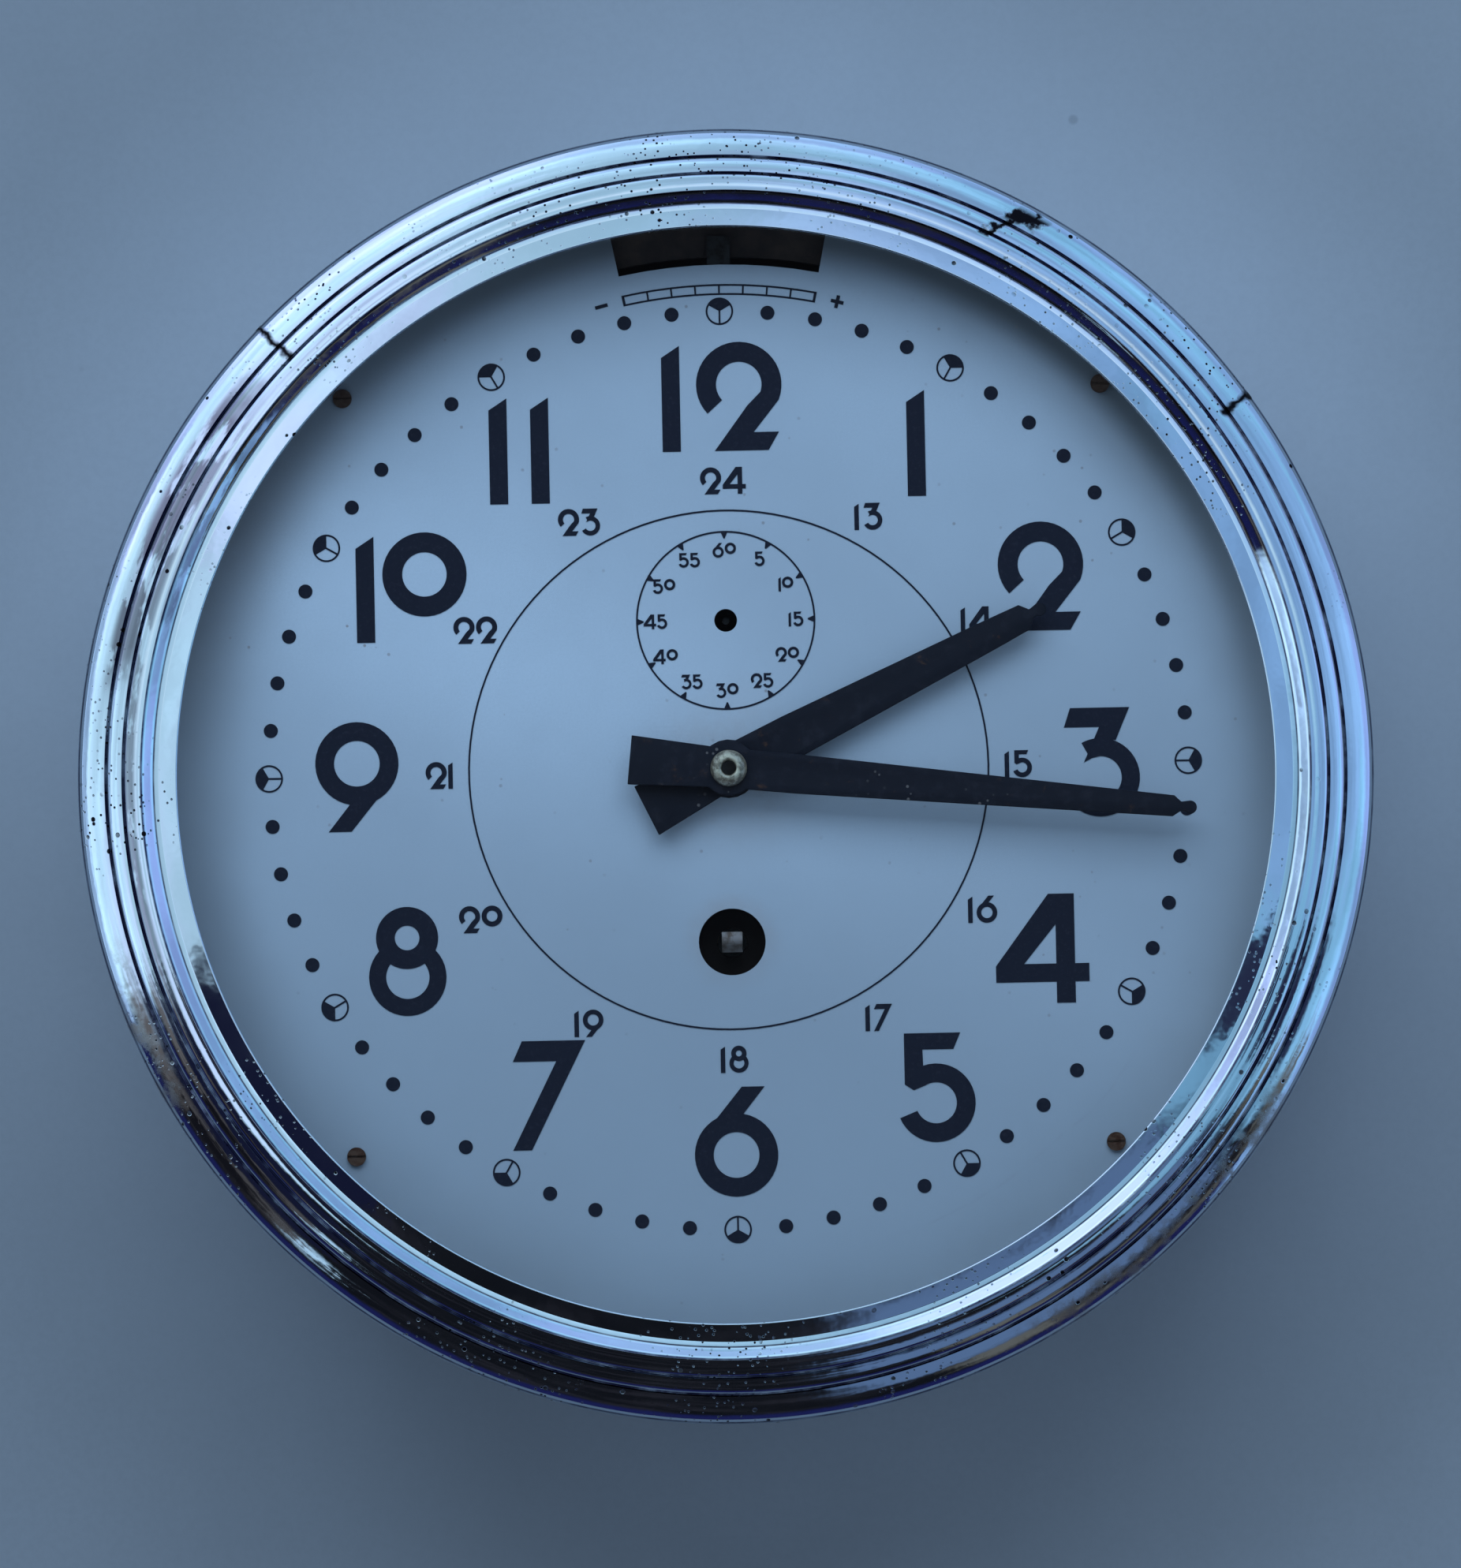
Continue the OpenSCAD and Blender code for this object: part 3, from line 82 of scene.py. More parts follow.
def near_edge(node):
    """Smallest distance from the wall that a node reaches, in metres."""
    return -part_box(node)[1].y


# Sizes and colours that a user would change


class ClockSizes(bpy.types.PropertyGroup):
    """Sizes of the pieces that are modelled here, in metres"""

    bezel_radius: bpy.props.FloatProperty(
        name="Bezel radius",
        description="Outer radius of the bezel",
        default=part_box("bezel_ring")[1].x,
        unit="LENGTH",
    )
    bezel_front: bpy.props.FloatProperty(
        name="Bezel front",
        description="Distance from the wall to the bezel's highest ridge",
        default=far_edge("bezel_ring"),
        unit="LENGTH",
    )
    bezel_back: bpy.props.FloatProperty(
        name="Bezel back",
        description="Distance from the wall to the edge of the bezel's skirt",
        default=near_edge("bezel_ring"),
        unit="LENGTH",
    )
    lip_radius: bpy.props.FloatProperty(
        name="Lip radius",
        description="Radius of the opening in front of the glass",
        default=0.0928,
        unit="LENGTH",
    )
    bezel_drop: bpy.props.FloatProperty(
        name="Bezel drop",
        description="How far the closed bezel hangs below the dial's centre",
        default=0.0012,
        unit="LENGTH",
    )
    bezel_side: bpy.props.FloatProperty(
        name="Bezel sideways",
        description="How far the closed bezel stands to the left of the dial's centre",
        default=0.0005,
        unit="LENGTH",
    )
    glass_front: bpy.props.FloatProperty(
        name="Glass front",
        description="Distance from the wall to the front of the glass",
        default=far_edge("glass"),
        unit="LENGTH",
    )
    glass_back: bpy.props.FloatProperty(
        name="Glass back",
        description="Distance from the wall to the back of the glass",
        default=near_edge("glass"),
        unit="LENGTH",
    )
    hour_length: bpy.props.FloatProperty(
        name="Hour hand length",
        description="Length of the hour hand from its centre",
        default=0.0606,
        unit="LENGTH",
    )
    minute_length: bpy.props.FloatProperty(
        name="Minute hand length",
        description="Length of the minute hand from its centre",
        default=0.0798,
        unit="LENGTH",
    )
    hour_angle: bpy.props.FloatProperty(
        name="Hour hand angle",
        description="Clockwise angle of the hour hand at rest",
        default=math.radians(64),
        subtype="ANGLE",
    )
    minute_angle: bpy.props.FloatProperty(
        name="Minute hand angle",
        description="Clockwise angle of the minute hand at rest",
        default=math.radians(96),
        subtype="ANGLE",
    )


class ClockColours(bpy.types.PropertyGroup):
    """Colours of the finishes"""

    chrome: bpy.props.FloatVectorProperty(
        name="Chrome",
        description="Tint of the bezel's plating",
        default=(0.70, 0.78, 0.88),
        subtype="COLOR",
    )
    silvering: bpy.props.FloatVectorProperty(
        name="Silvering",
        description="Tint of the dial",
        default=(0.30, 0.435, 0.62),
        subtype="COLOR",
    )
    ink: bpy.props.FloatVectorProperty(
        name="Ink",
        description="Colour of the dial's printing",
        default=(0.005, 0.008, 0.018),
        subtype="COLOR",
    )
    hand_paint: bpy.props.FloatVectorProperty(
        name="Hand paint",
        description="Colour of the hands' worn black paint",
        default=(0.004, 0.006, 0.012),
        subtype="COLOR",
    )
    brass: bpy.props.FloatVectorProperty(
        name="Brass",
        description="Tint of the brass plates and wheels",
        default=(0.62, 0.46, 0.20),
        subtype="COLOR",
    )
    steel: bpy.props.FloatVectorProperty(
        name="Steel",
        description="Tint of arbors, pinions and screws",
        default=(0.46, 0.47, 0.49),
        subtype="COLOR",
    )
    wall: bpy.props.FloatVectorProperty(
        name="Wall",
        description="Colour of the wall behind the clock",
        default=(0.14, 0.20, 0.285),
        subtype="COLOR",
    )
    sky: bpy.props.FloatVectorProperty(
        name="Sky",
        description="Colour of the sky that the metal reflects",
        default=(0.47, 0.72, 0.97),
        subtype="COLOR",
    )
    daylight: bpy.props.FloatVectorProperty(
        name="Daylight",
        description="Colour of the light from above",
        default=(0.90, 0.96, 1.0),
        subtype="COLOR",
    )


# Shader building


class Tree:
    """The node tree of a material or world, emptied and built up again."""

    def __init__(self, owner, output="ShaderNodeOutputMaterial"):
        owner.use_nodes = True
        self.nodes = owner.node_tree.nodes
        self.links = owner.node_tree.links
        self.nodes.clear()
        self.output = self.add(output)
        self.shader = None

    def show(self, shader):
        """Wires a shader to the output, in place of the one before."""
        self.feed(self.output.inputs["Surface"], shader.outputs[0])

    def dress(self, **values):
        """Feeds the principled shader's sockets, whose names are given with underscores."""
        for key, value in values.items():
            self.feed(self.shader.inputs[key.replace("_", " ")], value)

    def add(self, kind, inputs=None, **settings):
        """A new node with its settings, and with values or links on its inputs."""
        node = self.nodes.new(kind)
        for key, value in settings.items():
            setattr(node, key, value)
        for key, value in (inputs or {}).items():
            self.feed(node.inputs[key], value)
        return node

    def feed(self, socket, value):
        """Links an output to a socket, or sets the socket to a number or colour."""
        if isinstance(value, bpy.types.NodeSocket):
            self.links.new(value, socket)
        elif socket.type == "RGBA":
            socket.default_value = (*value[:3], 1)
        else:
            socket.default_value = value

    def calc(self, operation, *values):
        node = self.add("ShaderNodeMath", operation=operation)
        for socket, value in zip(node.inputs, values):
            self.feed(socket, value)
        return node.outputs[0]

    def plus(self, a, b):
        return self.calc("ADD", a, b)

    def minus(self, a, b):
        return self.calc("SUBTRACT", a, b)

    def times(self, a, b):
        return self.calc("MULTIPLY", a, b)

    def most(self, a, b):
        return self.calc("MAXIMUM", a, b)

    def vector(self, x=0.0, y=0.0, z=0.0):
        return self.add("ShaderNodeCombineXYZ", {0: x, 1: y, 2: z}).outputs[0]

    def brighten(self, colour, factor):
        """A colour times a factor that varies."""
        grey = self.add("ShaderNodeCombineColor", {0: factor, 1: factor, 2: factor}).outputs[0]
        return self.colours(1.0, colour, grey, "MULTIPLY")

    def step(self, value, low, high, to_low=0.0, to_high=1.0):
        """A smooth rise from to_low at low to to_high at high."""
        node = self.add(
            "ShaderNodeMapRange",
            {0: value, 1: low, 2: high, 3: to_low, 4: to_high},
            interpolation_type="SMOOTHSTEP",
        )
        return node.outputs[0]

    def between(self, value, low, high, soft):
        """One inside low to high and nothing outside, with soft edges."""
        rise = self.step(value, low - soft, low + soft)
        fall = self.step(value, high - soft, high + soft, 1, 0)
        return self.times(rise, fall)

    def colours(self, factor, a, b, way="MIX"):
        """From colour a at no factor to colour b at one."""
        node = self.add("ShaderNodeMix", data_type="RGBA", blend_type=way)
        self.feed(node.inputs[0], factor)
        self.feed(node.inputs[6], a)
        self.feed(node.inputs[7], b)
        return node.outputs[2]

    def noise(self, place, scale, detail=3.0, roughness=0.55, distortion=0.0):
        node = self.add(
            "ShaderNodeTexNoise",
            {"Scale": scale, "Detail": detail, "Roughness": roughness, "Distortion": distortion},
        )
        self.feed(node.inputs["Vector"], place)
        return node.outputs[0]

    def specks(self, place, scale, size):
        """Small round spots: one in a spot and nothing around it."""
        node = self.add("ShaderNodeTexVoronoi", {"Scale": scale, "Vector": place})
        return self.step(node.outputs["Distance"], size * 0.7, size, 1, 0)

    def bump(self, height, depth, strength, normal=None):
        node = self.add("ShaderNodeBump", {"Height": height, "Distance": depth, "Strength": strength})
        if normal is not None:
            self.feed(node.inputs["Normal"], normal)
        return node.outputs[0]

    def place(self):
        """Position on the object, in metres."""
        return self.add("ShaderNodeTexCoord").outputs["Object"]

    def places(self, centre=(0, 0, 0)):
        """Position, its axes, and radius and clockwise degrees round the clock's axis or a line beside it."""
        place = self.place()
        if any(centre):
            place = self.add("ShaderNodeVectorMath", {0: place, 1: centre}, operation="SUBTRACT").outputs[0]
        axes = self.add("ShaderNodeSeparateXYZ", {0: place}).outputs
        radius = self.calc("SQRT", self.plus(self.times(axes[0], axes[0]), self.times(axes[2], axes[2])))
        angle = self.calc("DEGREES", self.calc("ARCTAN2", axes[0], axes[2]))
        return place, axes, radius, angle


def finish(name):
    """An empty material and its tree, with a principled shader wired to the output."""
    material = bpy.data.materials.new(name)
    tree = Tree(material)
    tree.shader = tree.add("ShaderNodeBsdfPrincipled")
    tree.show(tree.shader)
    return material, tree


def scaled(colour, factor):
    """A colour made lighter or darker."""
    return tuple(factor * v for v in colour)


def chrome_plate(colours):
    """Old chrome: bright, a little wavy, with pits, fine scratches and brown wear."""
    material, tree = finish("chrome_plate")
    sizes = bpy.context.scene.clock_sizes
    place, _, radius, angle = tree.places((-sizes.bezel_side, 0, -sizes.bezel_drop))
    waves = tree.noise(place, 260, 2)
    ripples = tree.noise(place, 60, 2)
    pits = tree.times(tree.specks(place, 330, 0.16), tree.step(tree.noise(place, 70, 2), 0.52, 0.6))
    small_pits = tree.times(tree.specks(place, 900, 0.22), tree.step(tree.noise(place, 40, 3), 0.5, 0.66))
    # Two thin dents across the outer steps and one dark scar
    ragged = tree.plus(angle, tree.times(tree.noise(place, 500, 2), 1.2))

    def dent(first, last, inner):
        return tree.times(tree.between(ragged, first, last, 0.25), tree.step(radius, inner, inner + 0.0006))

    def stretch(turn, first, last, soft, inner, outer, edge):
        return tree.times(tree.between(turn, first, last, soft), tree.between(radius, inner, outer, edge))

    dents = tree.most(dent(55.4, 56.1, 0.1035), dent(-44.8, -44.2, 0.1015))
    scar_edge = tree.plus(angle, tree.times(tree.minus(tree.noise(place, 320, 4), 0.5), 5))
    slant = tree.minus(scar_edge, tree.step(radius, 0.1015, 0.109, 0, 3.6))
    wide = stretch(slant, 25.0, 28.0, 0.4, 0.1055, 0.1085, 0.0006)
    narrow = stretch(slant, 26.0, 27.0, 0.3, 0.1012, 0.1092, 0.0003)
    marks = tree.most(dents, tree.most(wide, narrow))
    # Painted shade darkens the grooves and the corner under the ridge, unevenly
    recess_shade = tree.between(radius, 0.09865, 0.099, 0.00012)
    for groove, half in ((0.0968, 0.00012), (0.1019, 0.0003), (0.1049, 0.0003), (0.1097, 0.00015)):
        recess_shade = tree.most(recess_shade, tree.between(radius, groove - half, groove + half, 0.00012))
    recess_shade = tree.times(recess_shade, tree.step(tree.noise(place, 150, 4, 0.65), 0.3, 0.6, 0.6, 0.97))
    # The plating is dull and brown low on the outer steps
    wear_noise = tree.step(tree.noise(place, 180, 5, 0.65), 0.42, 0.66)
    low_right = tree.times(tree.between(angle, 121, 152, 6), tree.step(radius, 0.1045, 0.107))
    low_left = tree.times(tree.between(angle, -121, -106, 4), tree.step(radius, 0.1045, 0.107))
    worn = tree.times(tree.most(low_right, low_left), wear_noise)
    # A brown-violet bloom runs along the steps high on the left
    drifting = tree.plus(angle, tree.times(tree.noise(place, 45, 4), 30))
    under_ridge = stretch(drifting, -60, -42, 4, 0.0970, 0.0992, 0.0004)
    on_ridge = stretch(drifting, -92, -40, 6, 0.1001, 0.1019, 0.0004)
    bloom = tree.most(stretch(drifting, -66, -38, 4, 0.1019, 0.1064, 0.0007), tree.times(under_ridge, 0.7))
    bloom = tree.most(bloom, tree.times(on_ridge, 0.8))
    run = tree.vector(radius, tree.calc("DIVIDE", angle, 2200))
    bloom = tree.times(bloom, tree.step(tree.noise(run, 330, 4, 0.6), 0.4, 0.5, 0.1, 0.85))
    dirt = tree.most(pits, tree.most(small_pits, marks))
    tint = tree.colours(tree.times(worn, 0.75), colours.chrome, (0.33, 0.27, 0.22))
    tint = tree.colours(bloom, tint, (0.15, 0.135, 0.17))
    tint = tree.colours(recess_shade, tint, (0.026, 0.025, 0.08))
    tint = tree.colours(dirt, tint, (0.012, 0.010, 0.013))
    rough = tree.plus(tree.step(ripples, 0.35, 0.7, 0.035, 0.09), tree.times(worn, 0.3))
    rough = tree.plus(rough, tree.times(dirt, 0.5))
    bump = tree.bump(waves, 0.00006, 0.5)
    bump = tree.bump(ripples, 0.0002, 0.5, bump)
    bump = tree.bump(tree.minus(1.0, dirt), 0.00008, 0.6, bump)
    tree.dress(Base_Color=tint, Metallic=1.0, Roughness=rough, Normal=bump)
    return material


def dull_chrome(colours):
    """The case's plating: satin, streaked and a little cloudy."""
    material, tree = finish("dull_chrome")
    place, axes, radius, angle = tree.places()
    streaks = tree.noise(tree.vector(radius, axes[1], tree.calc("DIVIDE", angle, 4000)), 900, 3)
    clouds = tree.noise(place, 35, 4)
    pits = tree.times(tree.specks(place, 420, 0.15), tree.step(clouds, 0.5, 0.62))
    tint = tree.colours(tree.step(clouds, 0.35, 0.75), colours.chrome, (0.45, 0.46, 0.49))
    tint = tree.colours(pits, tint, (0.12, 0.08, 0.06))
    rough = tree.plus(tree.step(streaks, 0.3, 0.7, 0.24, 0.38), tree.times(pits, 0.4))
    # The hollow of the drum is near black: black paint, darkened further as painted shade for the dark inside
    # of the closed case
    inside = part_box("case_drum")[1].x - 0.0004
    before_back = tree.step(axes[1], -0.0012, -0.0008, 1, 0)
    hollow = tree.times(tree.step(radius, inside - 0.0001, inside, 1, 0), before_back)
    tint = tree.colours(hollow, tint, tree.colours(clouds, (0.003, 0.003, 0.004), (0.010, 0.009, 0.008)))
    rough = tree.most(rough, tree.times(hollow, 0.7))
    metal = tree.minus(1.0, hollow)
    bump = tree.bump(streaks, 0.00002, 0.5)
    tree.dress(Base_Color=tint, Metallic=metal, Roughness=rough, Normal=bump)
    return material


def silvered_plate(colours):
    """Matt silvering with fine grain, specks, stains round the openings and a faint scuff, with painted shade
    and a painted sheen.
    """
    material, tree = finish("silvered_plate")
    place, axes, radius, angle = tree.places()
    grain = tree.noise(place, 2600, 2, 0.7)
    clouds = tree.noise(place, 26, 4)
    specks = tree.times(tree.specks(place, 300, 0.1), tree.step(tree.noise(place, 60, 2), 0.5, 0.62))
    tint = tree.colours(tree.step(clouds, 0.3, 0.75), colours.silvering, scaled(colours.silvering, 0.88))
    tint = tree.colours(tree.step(grain, 0.3, 0.75, 0, 0.3), tint, scaled(colours.silvering, 0.75))

    def stain(x, z, inner, outer):
        spot = {0: place, 1: (x, -0.05, z)}
        away = tree.add("ShaderNodeVectorMath", spot, operation="DISTANCE").outputs["Value"]
        patchy = tree.step(tree.noise(place, 240, 4, 0.7), 0.3, 0.7, 0.35, 1)
        return tree.times(tree.step(away, inner, outer, 1, 0), patchy)

    stains = tree.most(stain(0, -0.0294, 0.0055, 0.0095), tree.times(stain(0, 0, 0.006, 0.019), 0.5))
    tint = tree.colours(tree.times(stains, 0.45), tint, (0.22, 0.19, 0.17))
    # Dust and painted shade from the deep bezel darken the edge, least at the top, and a long scuff curves
    # low on the right
    edge = tree.times(tree.step(radius, 0.078, 0.095), tree.step(clouds, 0.25, 0.7, 0.3, 1))
    edge = tree.times(edge, tree.step(axes[2], 0.04, 0.075, 0.6, 0.15))
    tint = tree.colours(edge, tint, (0.14, 0.18, 0.23))
    # Painted shadow of the bezel on the dial's edge, deepest at the upper left
    upper_left = tree.minus(tree.times(axes[2], 0.3), axes[0])
    rim_shadow = tree.times(tree.step(radius, 0.081, 0.092), tree.step(upper_left, 0.0, 0.09, 0.1, 0.48))
    tint = tree.colours(rim_shadow, tint, (0.06, 0.08, 0.12))
    # Painted shadow of the lip: the dial's edge along the top is near black
    lip_shadow = tree.times(tree.step(radius, 0.0866, 0.0918), tree.between(angle, -38, 72, 30))
    tint = tree.colours(tree.times(lip_shadow, 0.93), tint, (0.012, 0.018, 0.022))
    scuff_edge = tree.plus(radius, tree.times(tree.noise(place, 60, 2), 0.002))
    scuff = tree.times(tree.between(scuff_edge, 0.0853, 0.0857, 0.0003), tree.between(angle, 128, 160, 8))
    scuff = tree.times(scuff, tree.step(tree.noise(place, 400, 3), 0.35, 0.6))
    tint = tree.colours(tree.times(scuff, 0.4), tint, (0.16, 0.18, 0.26))
    tint = tree.colours(tree.times(specks, 0.7), tint, (0.12, 0.12, 0.14))
    # Painted shade: the silvering is darker low down and to the right, in an uneven drift, where less light
    # falls
    drift = tree.times(tree.minus(tree.noise(place, 14, 3), 0.5), 0.09)
    lower = tree.minus(tree.plus(axes[2], drift), tree.times(axes[0], 0.25))
    low_right_shade = tree.step(lower, -0.05, 0.05, 0.6, 0)
    tint = tree.colours(low_right_shade, tint, scaled(colours.silvering, 0.5))
    # Painted sheen: a broad lighter band crosses the centre from upper left to lower right, and the dial
    # either side of it is darker
    slant = tree.plus(tree.times(axes[0], 0.47), tree.times(axes[2], 0.88))
    slant = tree.calc("ABSOLUTE", tree.plus(slant, tree.times(drift, 0.2)))
    tint = tree.colours(tree.step(slant, 0, 0.036, 0, 0.42), tint, scaled(colours.silvering, 0.5))
    rough = tree.step(grain, 0.2, 0.8, 0.4, 0.5)
    bump = tree.bump(grain, 0.00001, 0.25)
    tree.dress(Base_Color=tint, Metallic=0.15, Roughness=rough, Normal=bump)
    return material


def printed_ink(colours):
    """Dense screen ink with slightly thin places."""
    material, tree = finish("printed_ink")
    thin = tree.step(tree.noise(tree.place(), 1500, 3, 0.7), 0.5, 0.8, 0, 0.3)
    tint = tree.colours(thin, colours.ink, (0.03, 0.036, 0.06))
    rough = tree.step(thin, 0, 0.3, 0.5, 0.65)
    tree.dress(Base_Color=tint, Roughness=rough, Specular_IOR_Level=0.1)
    return material


def hand_black(colours):
    """Matt black paint with blue-grey dust, brown wear and bare edges."""
    material, tree = finish("hand_black")
    place = tree.place()
    dust = tree.step(tree.noise(place, 420, 5, 0.7), 0.5, 0.72)
    rust = tree.step(tree.noise(place, 260, 5, 0.7, 0.4), 0.6, 0.72)
    chips = tree.times(tree.specks(place, 700, 0.22), tree.step(tree.noise(place, 120, 2), 0.6, 0.68))
    tint = tree.colours(tree.times(dust, 0.2), colours.hand_paint, (0.03, 0.037, 0.058))
    tint = tree.colours(tree.times(rust, 0.45), tint, (0.055, 0.032, 0.022))
    tint = tree.colours(tree.times(chips, 0.6), tint, (0.09, 0.10, 0.12))
    rough = tree.step(dust, 0, 1, 0.55, 0.75)
    bump = tree.bump(tree.noise(place, 800, 4), 0.00004, 0.6)
    tree.dress(Base_Color=tint, Roughness=rough, Specular_IOR_Level=0.12, Normal=bump)
    return material


def nut_plate():
    """Dull pale plating with grimy patches."""
    material, tree = finish("nut_plate")
    clouds = tree.noise(tree.place(), 700, 4, 0.65)
    tint = tree.colours(tree.step(clouds, 0.42, 0.62), (0.42, 0.44, 0.38), (0.15, 0.15, 0.13))
    rough = tree.step(clouds, 0.3, 0.7, 0.28, 0.5)
    bump = tree.bump(clouds, 0.00012, 0.6)
    tree.dress(Base_Color=tint, Metallic=0.7, Roughness=rough, Normal=bump)
    return material


def rusty_steel():
    """Screw heads gone brown."""
    material, tree = finish("rusty_steel")
    rust = tree.noise(tree.place(), 900, 5, 0.7)
    tint = tree.colours(tree.step(rust, 0.4, 0.62), (0.055, 0.036, 0.028), (0.032, 0.013, 0.008))
    bump = tree.bump(rust, 0.0001, 0.8)
    tree.dress(Base_Color=tint, Metallic=0.4, Roughness=0.7, Normal=bump)
    return material


def turned_brass(name, tint, rough):
    """Brass with fine tool lines, slight tarnish and spots."""
    material, tree = finish(name)
    place, _, radius, _ = tree.places()
    lines = tree.noise(tree.vector(radius), 5200, 2)
    tarnish = tree.noise(place, 70, 5, 0.6)
    spots = tree.times(tree.specks(place, 520, 0.14), tree.step(tarnish, 0.5, 0.62))
    colour = tree.colours(tree.step(tarnish, 0.4, 0.72), tint, scaled(tint, 0.62))
    colour = tree.colours(spots, colour, (0.10, 0.06, 0.03))
    grade = tree.plus(tree.step(lines, 0.3, 0.7, rough, rough + 0.14), tree.times(spots, 0.3))
    bump = tree.bump(lines, 0.000008, 0.5)
    tree.dress(Base_Color=colour, Metallic=1.0, Roughness=grade, Normal=bump)
    return material


def shaded_brass():
    """Brass behind the dial, made near black as painted shade for the dark inside of the openings, with dust
    and a few bright worn places.
    """
    material, tree = finish("shaded_brass")
    place, _, radius, _ = tree.places()
    patina = tree.noise(place, 90, 5, 0.65)
    wear_and_highlight = tree.step(tree.noise(place, 300, 4, 0.7), 0.62, 0.74)
    colour = tree.colours(tree.step(patina, 0.35, 0.7), (0.022, 0.022, 0.027), (0.045, 0.040, 0.040))
    colour = tree.colours(tree.times(wear_and_highlight, 0.1), colour, (0.06, 0.05, 0.035))
    # Painted shade: the movement's plate, in the middle, which shows through the dial's holes, is near black,
    # darker than the ring that carries the dial
    colour = tree.colours(tree.step(radius, 0.058, 0.062, 1, 0), colour, (0.007, 0.007, 0.008))
    rough = tree.step(patina, 0.3, 0.7, 0.85, 0.65)
    bump = tree.bump(patina, 0.00002, 0.3)
    tree.dress(Base_Color=colour, Roughness=rough, Specular_IOR_Level=0.1, Normal=bump)
    return material


def dark_steel(node, shade):
    """Grey-brown steel, made as dark as the shade in the dial's openings, with painted shade further in from
    the end that shows.
    """
    material, tree = finish("dark_" + node)
    place, axes, _, _ = tree.places()
    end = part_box(node)[0].y
    recess_shade = tree.step(axes[1], end + 0.0012, end + 0.0022)
    rust = tree.noise(place, 500, 5, 0.65)
    clean_and_lit, rusty = scaled((1.0, 1.04, 1.17), shade), scaled((0.47, 0.4, 0.37), shade)
    colour = tree.colours(tree.step(rust, 0.4, 0.65), clean_and_lit, rusty)
    if node == "barrel_arbor":
        # Painted highlight: the upper part of the square is lit bright and its lower part painted darker, as
        # light falls from above
        wear_and_highlight = tree.step(axes[2], -0.0302, -0.0283)
        shine = tree.colours(wear_and_highlight, (0.5, 0.5, 0.5), (1.9, 1.9, 1.9))
        colour = tree.colours(1.0, colour, shine, "MULTIPLY")
    colour = tree.colours(recess_shade, colour, (0.008, 0.008, 0.008))
    rough = tree.step(rust, 0.3, 0.7, 0.4, 0.6)
    bump = tree.bump(rust, 0.00003, 0.5)
    tree.dress(Base_Color=colour, Metallic=0.6, Roughness=rough, Specular_IOR_Level=0.15, Normal=bump)
    return material


def ground_steel(name, tint, rough):
    """Steel with a fine ground finish and faint stains."""
    material, tree = finish(name)
    place, axes, _, _ = tree.places()
    lines = tree.noise(tree.vector(axes[0], tree.times(axes[1], 12), axes[2]), 1500, 3)
    stains = tree.noise(place, 120, 4, 0.6)
    colour = tree.colours(tree.step(stains, 0.45, 0.75), tint, (0.24, 0.21, 0.19))
    grade = tree.step(lines, 0.3, 0.7, rough, rough + 0.15)
    bump = tree.bump(lines, 0.000006, 0.5)
    tree.dress(Base_Color=colour, Metallic=1.0, Roughness=grade, Normal=bump)
    return material


def clear_glass():
    """Thin clear glass: almost all light passes, and its surface reflects at low angles."""
    material = bpy.data.materials.new("clear_glass")
    tree = Tree(material)
    dust = tree.step(tree.noise(tree.place(), 900, 5, 0.7), 0.66, 0.8, 0, 0.02)
    inner = tree.add("ShaderNodeNewGeometry").outputs["Backfacing"]
    facing = tree.add("ShaderNodeFresnel", {"IOR": 1.5}).outputs[0]
    facing = tree.times(facing, tree.minus(1.0, inner))
    clear = tree.add("ShaderNodeBsdfTransparent", {"Color": (0.975, 0.985, 0.99)})
    shine = tree.add("ShaderNodeBsdfGlossy", {"Color": (1.0, 1.0, 1.0), "Roughness": 0.02})
    film = tree.add("ShaderNodeBsdfDiffuse", {"Color": (0.5, 0.55, 0.6)})
    body = tree.add("ShaderNodeMixShader", {0: facing, 1: clear.outputs[0], 2: shine.outputs[0]})
    whole = tree.add("ShaderNodeMixShader", {0: dust, 1: body.outputs[0], 2: film.outputs[0]})
    tree.show(whole)
    return material


def wall_paint(colours):
    """A pale matt wall with faint mottling, seen from its front only."""
    material, tree = finish("wall_paint")
    place, axes, radius, _ = tree.places()
    clouds = tree.noise(place, 9, 5, 0.6)
    grain = tree.noise(place, 700, 3, 0.7)
    flecks = tree.times(tree.specks(place, 34, 0.05), 0.5)
    wall = tuple(colours.wall)
    tint = tree.colours(tree.step(clouds, 0.3, 0.75), wall, scaled(wall, 0.9))
    tint = tree.colours(tree.step(grain, 0.3, 0.75, 0, 0.25), tint, scaled(wall, 0.8))
    tint = tree.colours(flecks, tint, scaled(wall, 0.55))
    # Painted light: the wall is lighter close to the clock, darker further out and a little lighter on the
    # right, against the shade that the clock casts
    clean_and_lit = tree.step(radius, 0.105, 0.165, 1.22, 0.87)
    clean_and_lit = tree.times(clean_and_lit, tree.step(axes[0], -0.12, 0.12, 0.96, 1.06))
    tint = tree.brighten(tint, clean_and_lit)
    bump = tree.bump(clouds, 0.001, 0.25)
    tree.dress(Base_Color=tint, Roughness=0.8, Specular_IOR_Level=0.1, Normal=bump)
    hidden = tree.add("ShaderNodeBsdfTransparent")
    behind = tree.add("ShaderNodeNewGeometry").outputs["Backfacing"]
    tree.show(tree.add("ShaderNodeMixShader", {0: behind, 1: tree.shader.outputs[0], 2: hidden.outputs[0]}))
    return material


FINISHES = {}


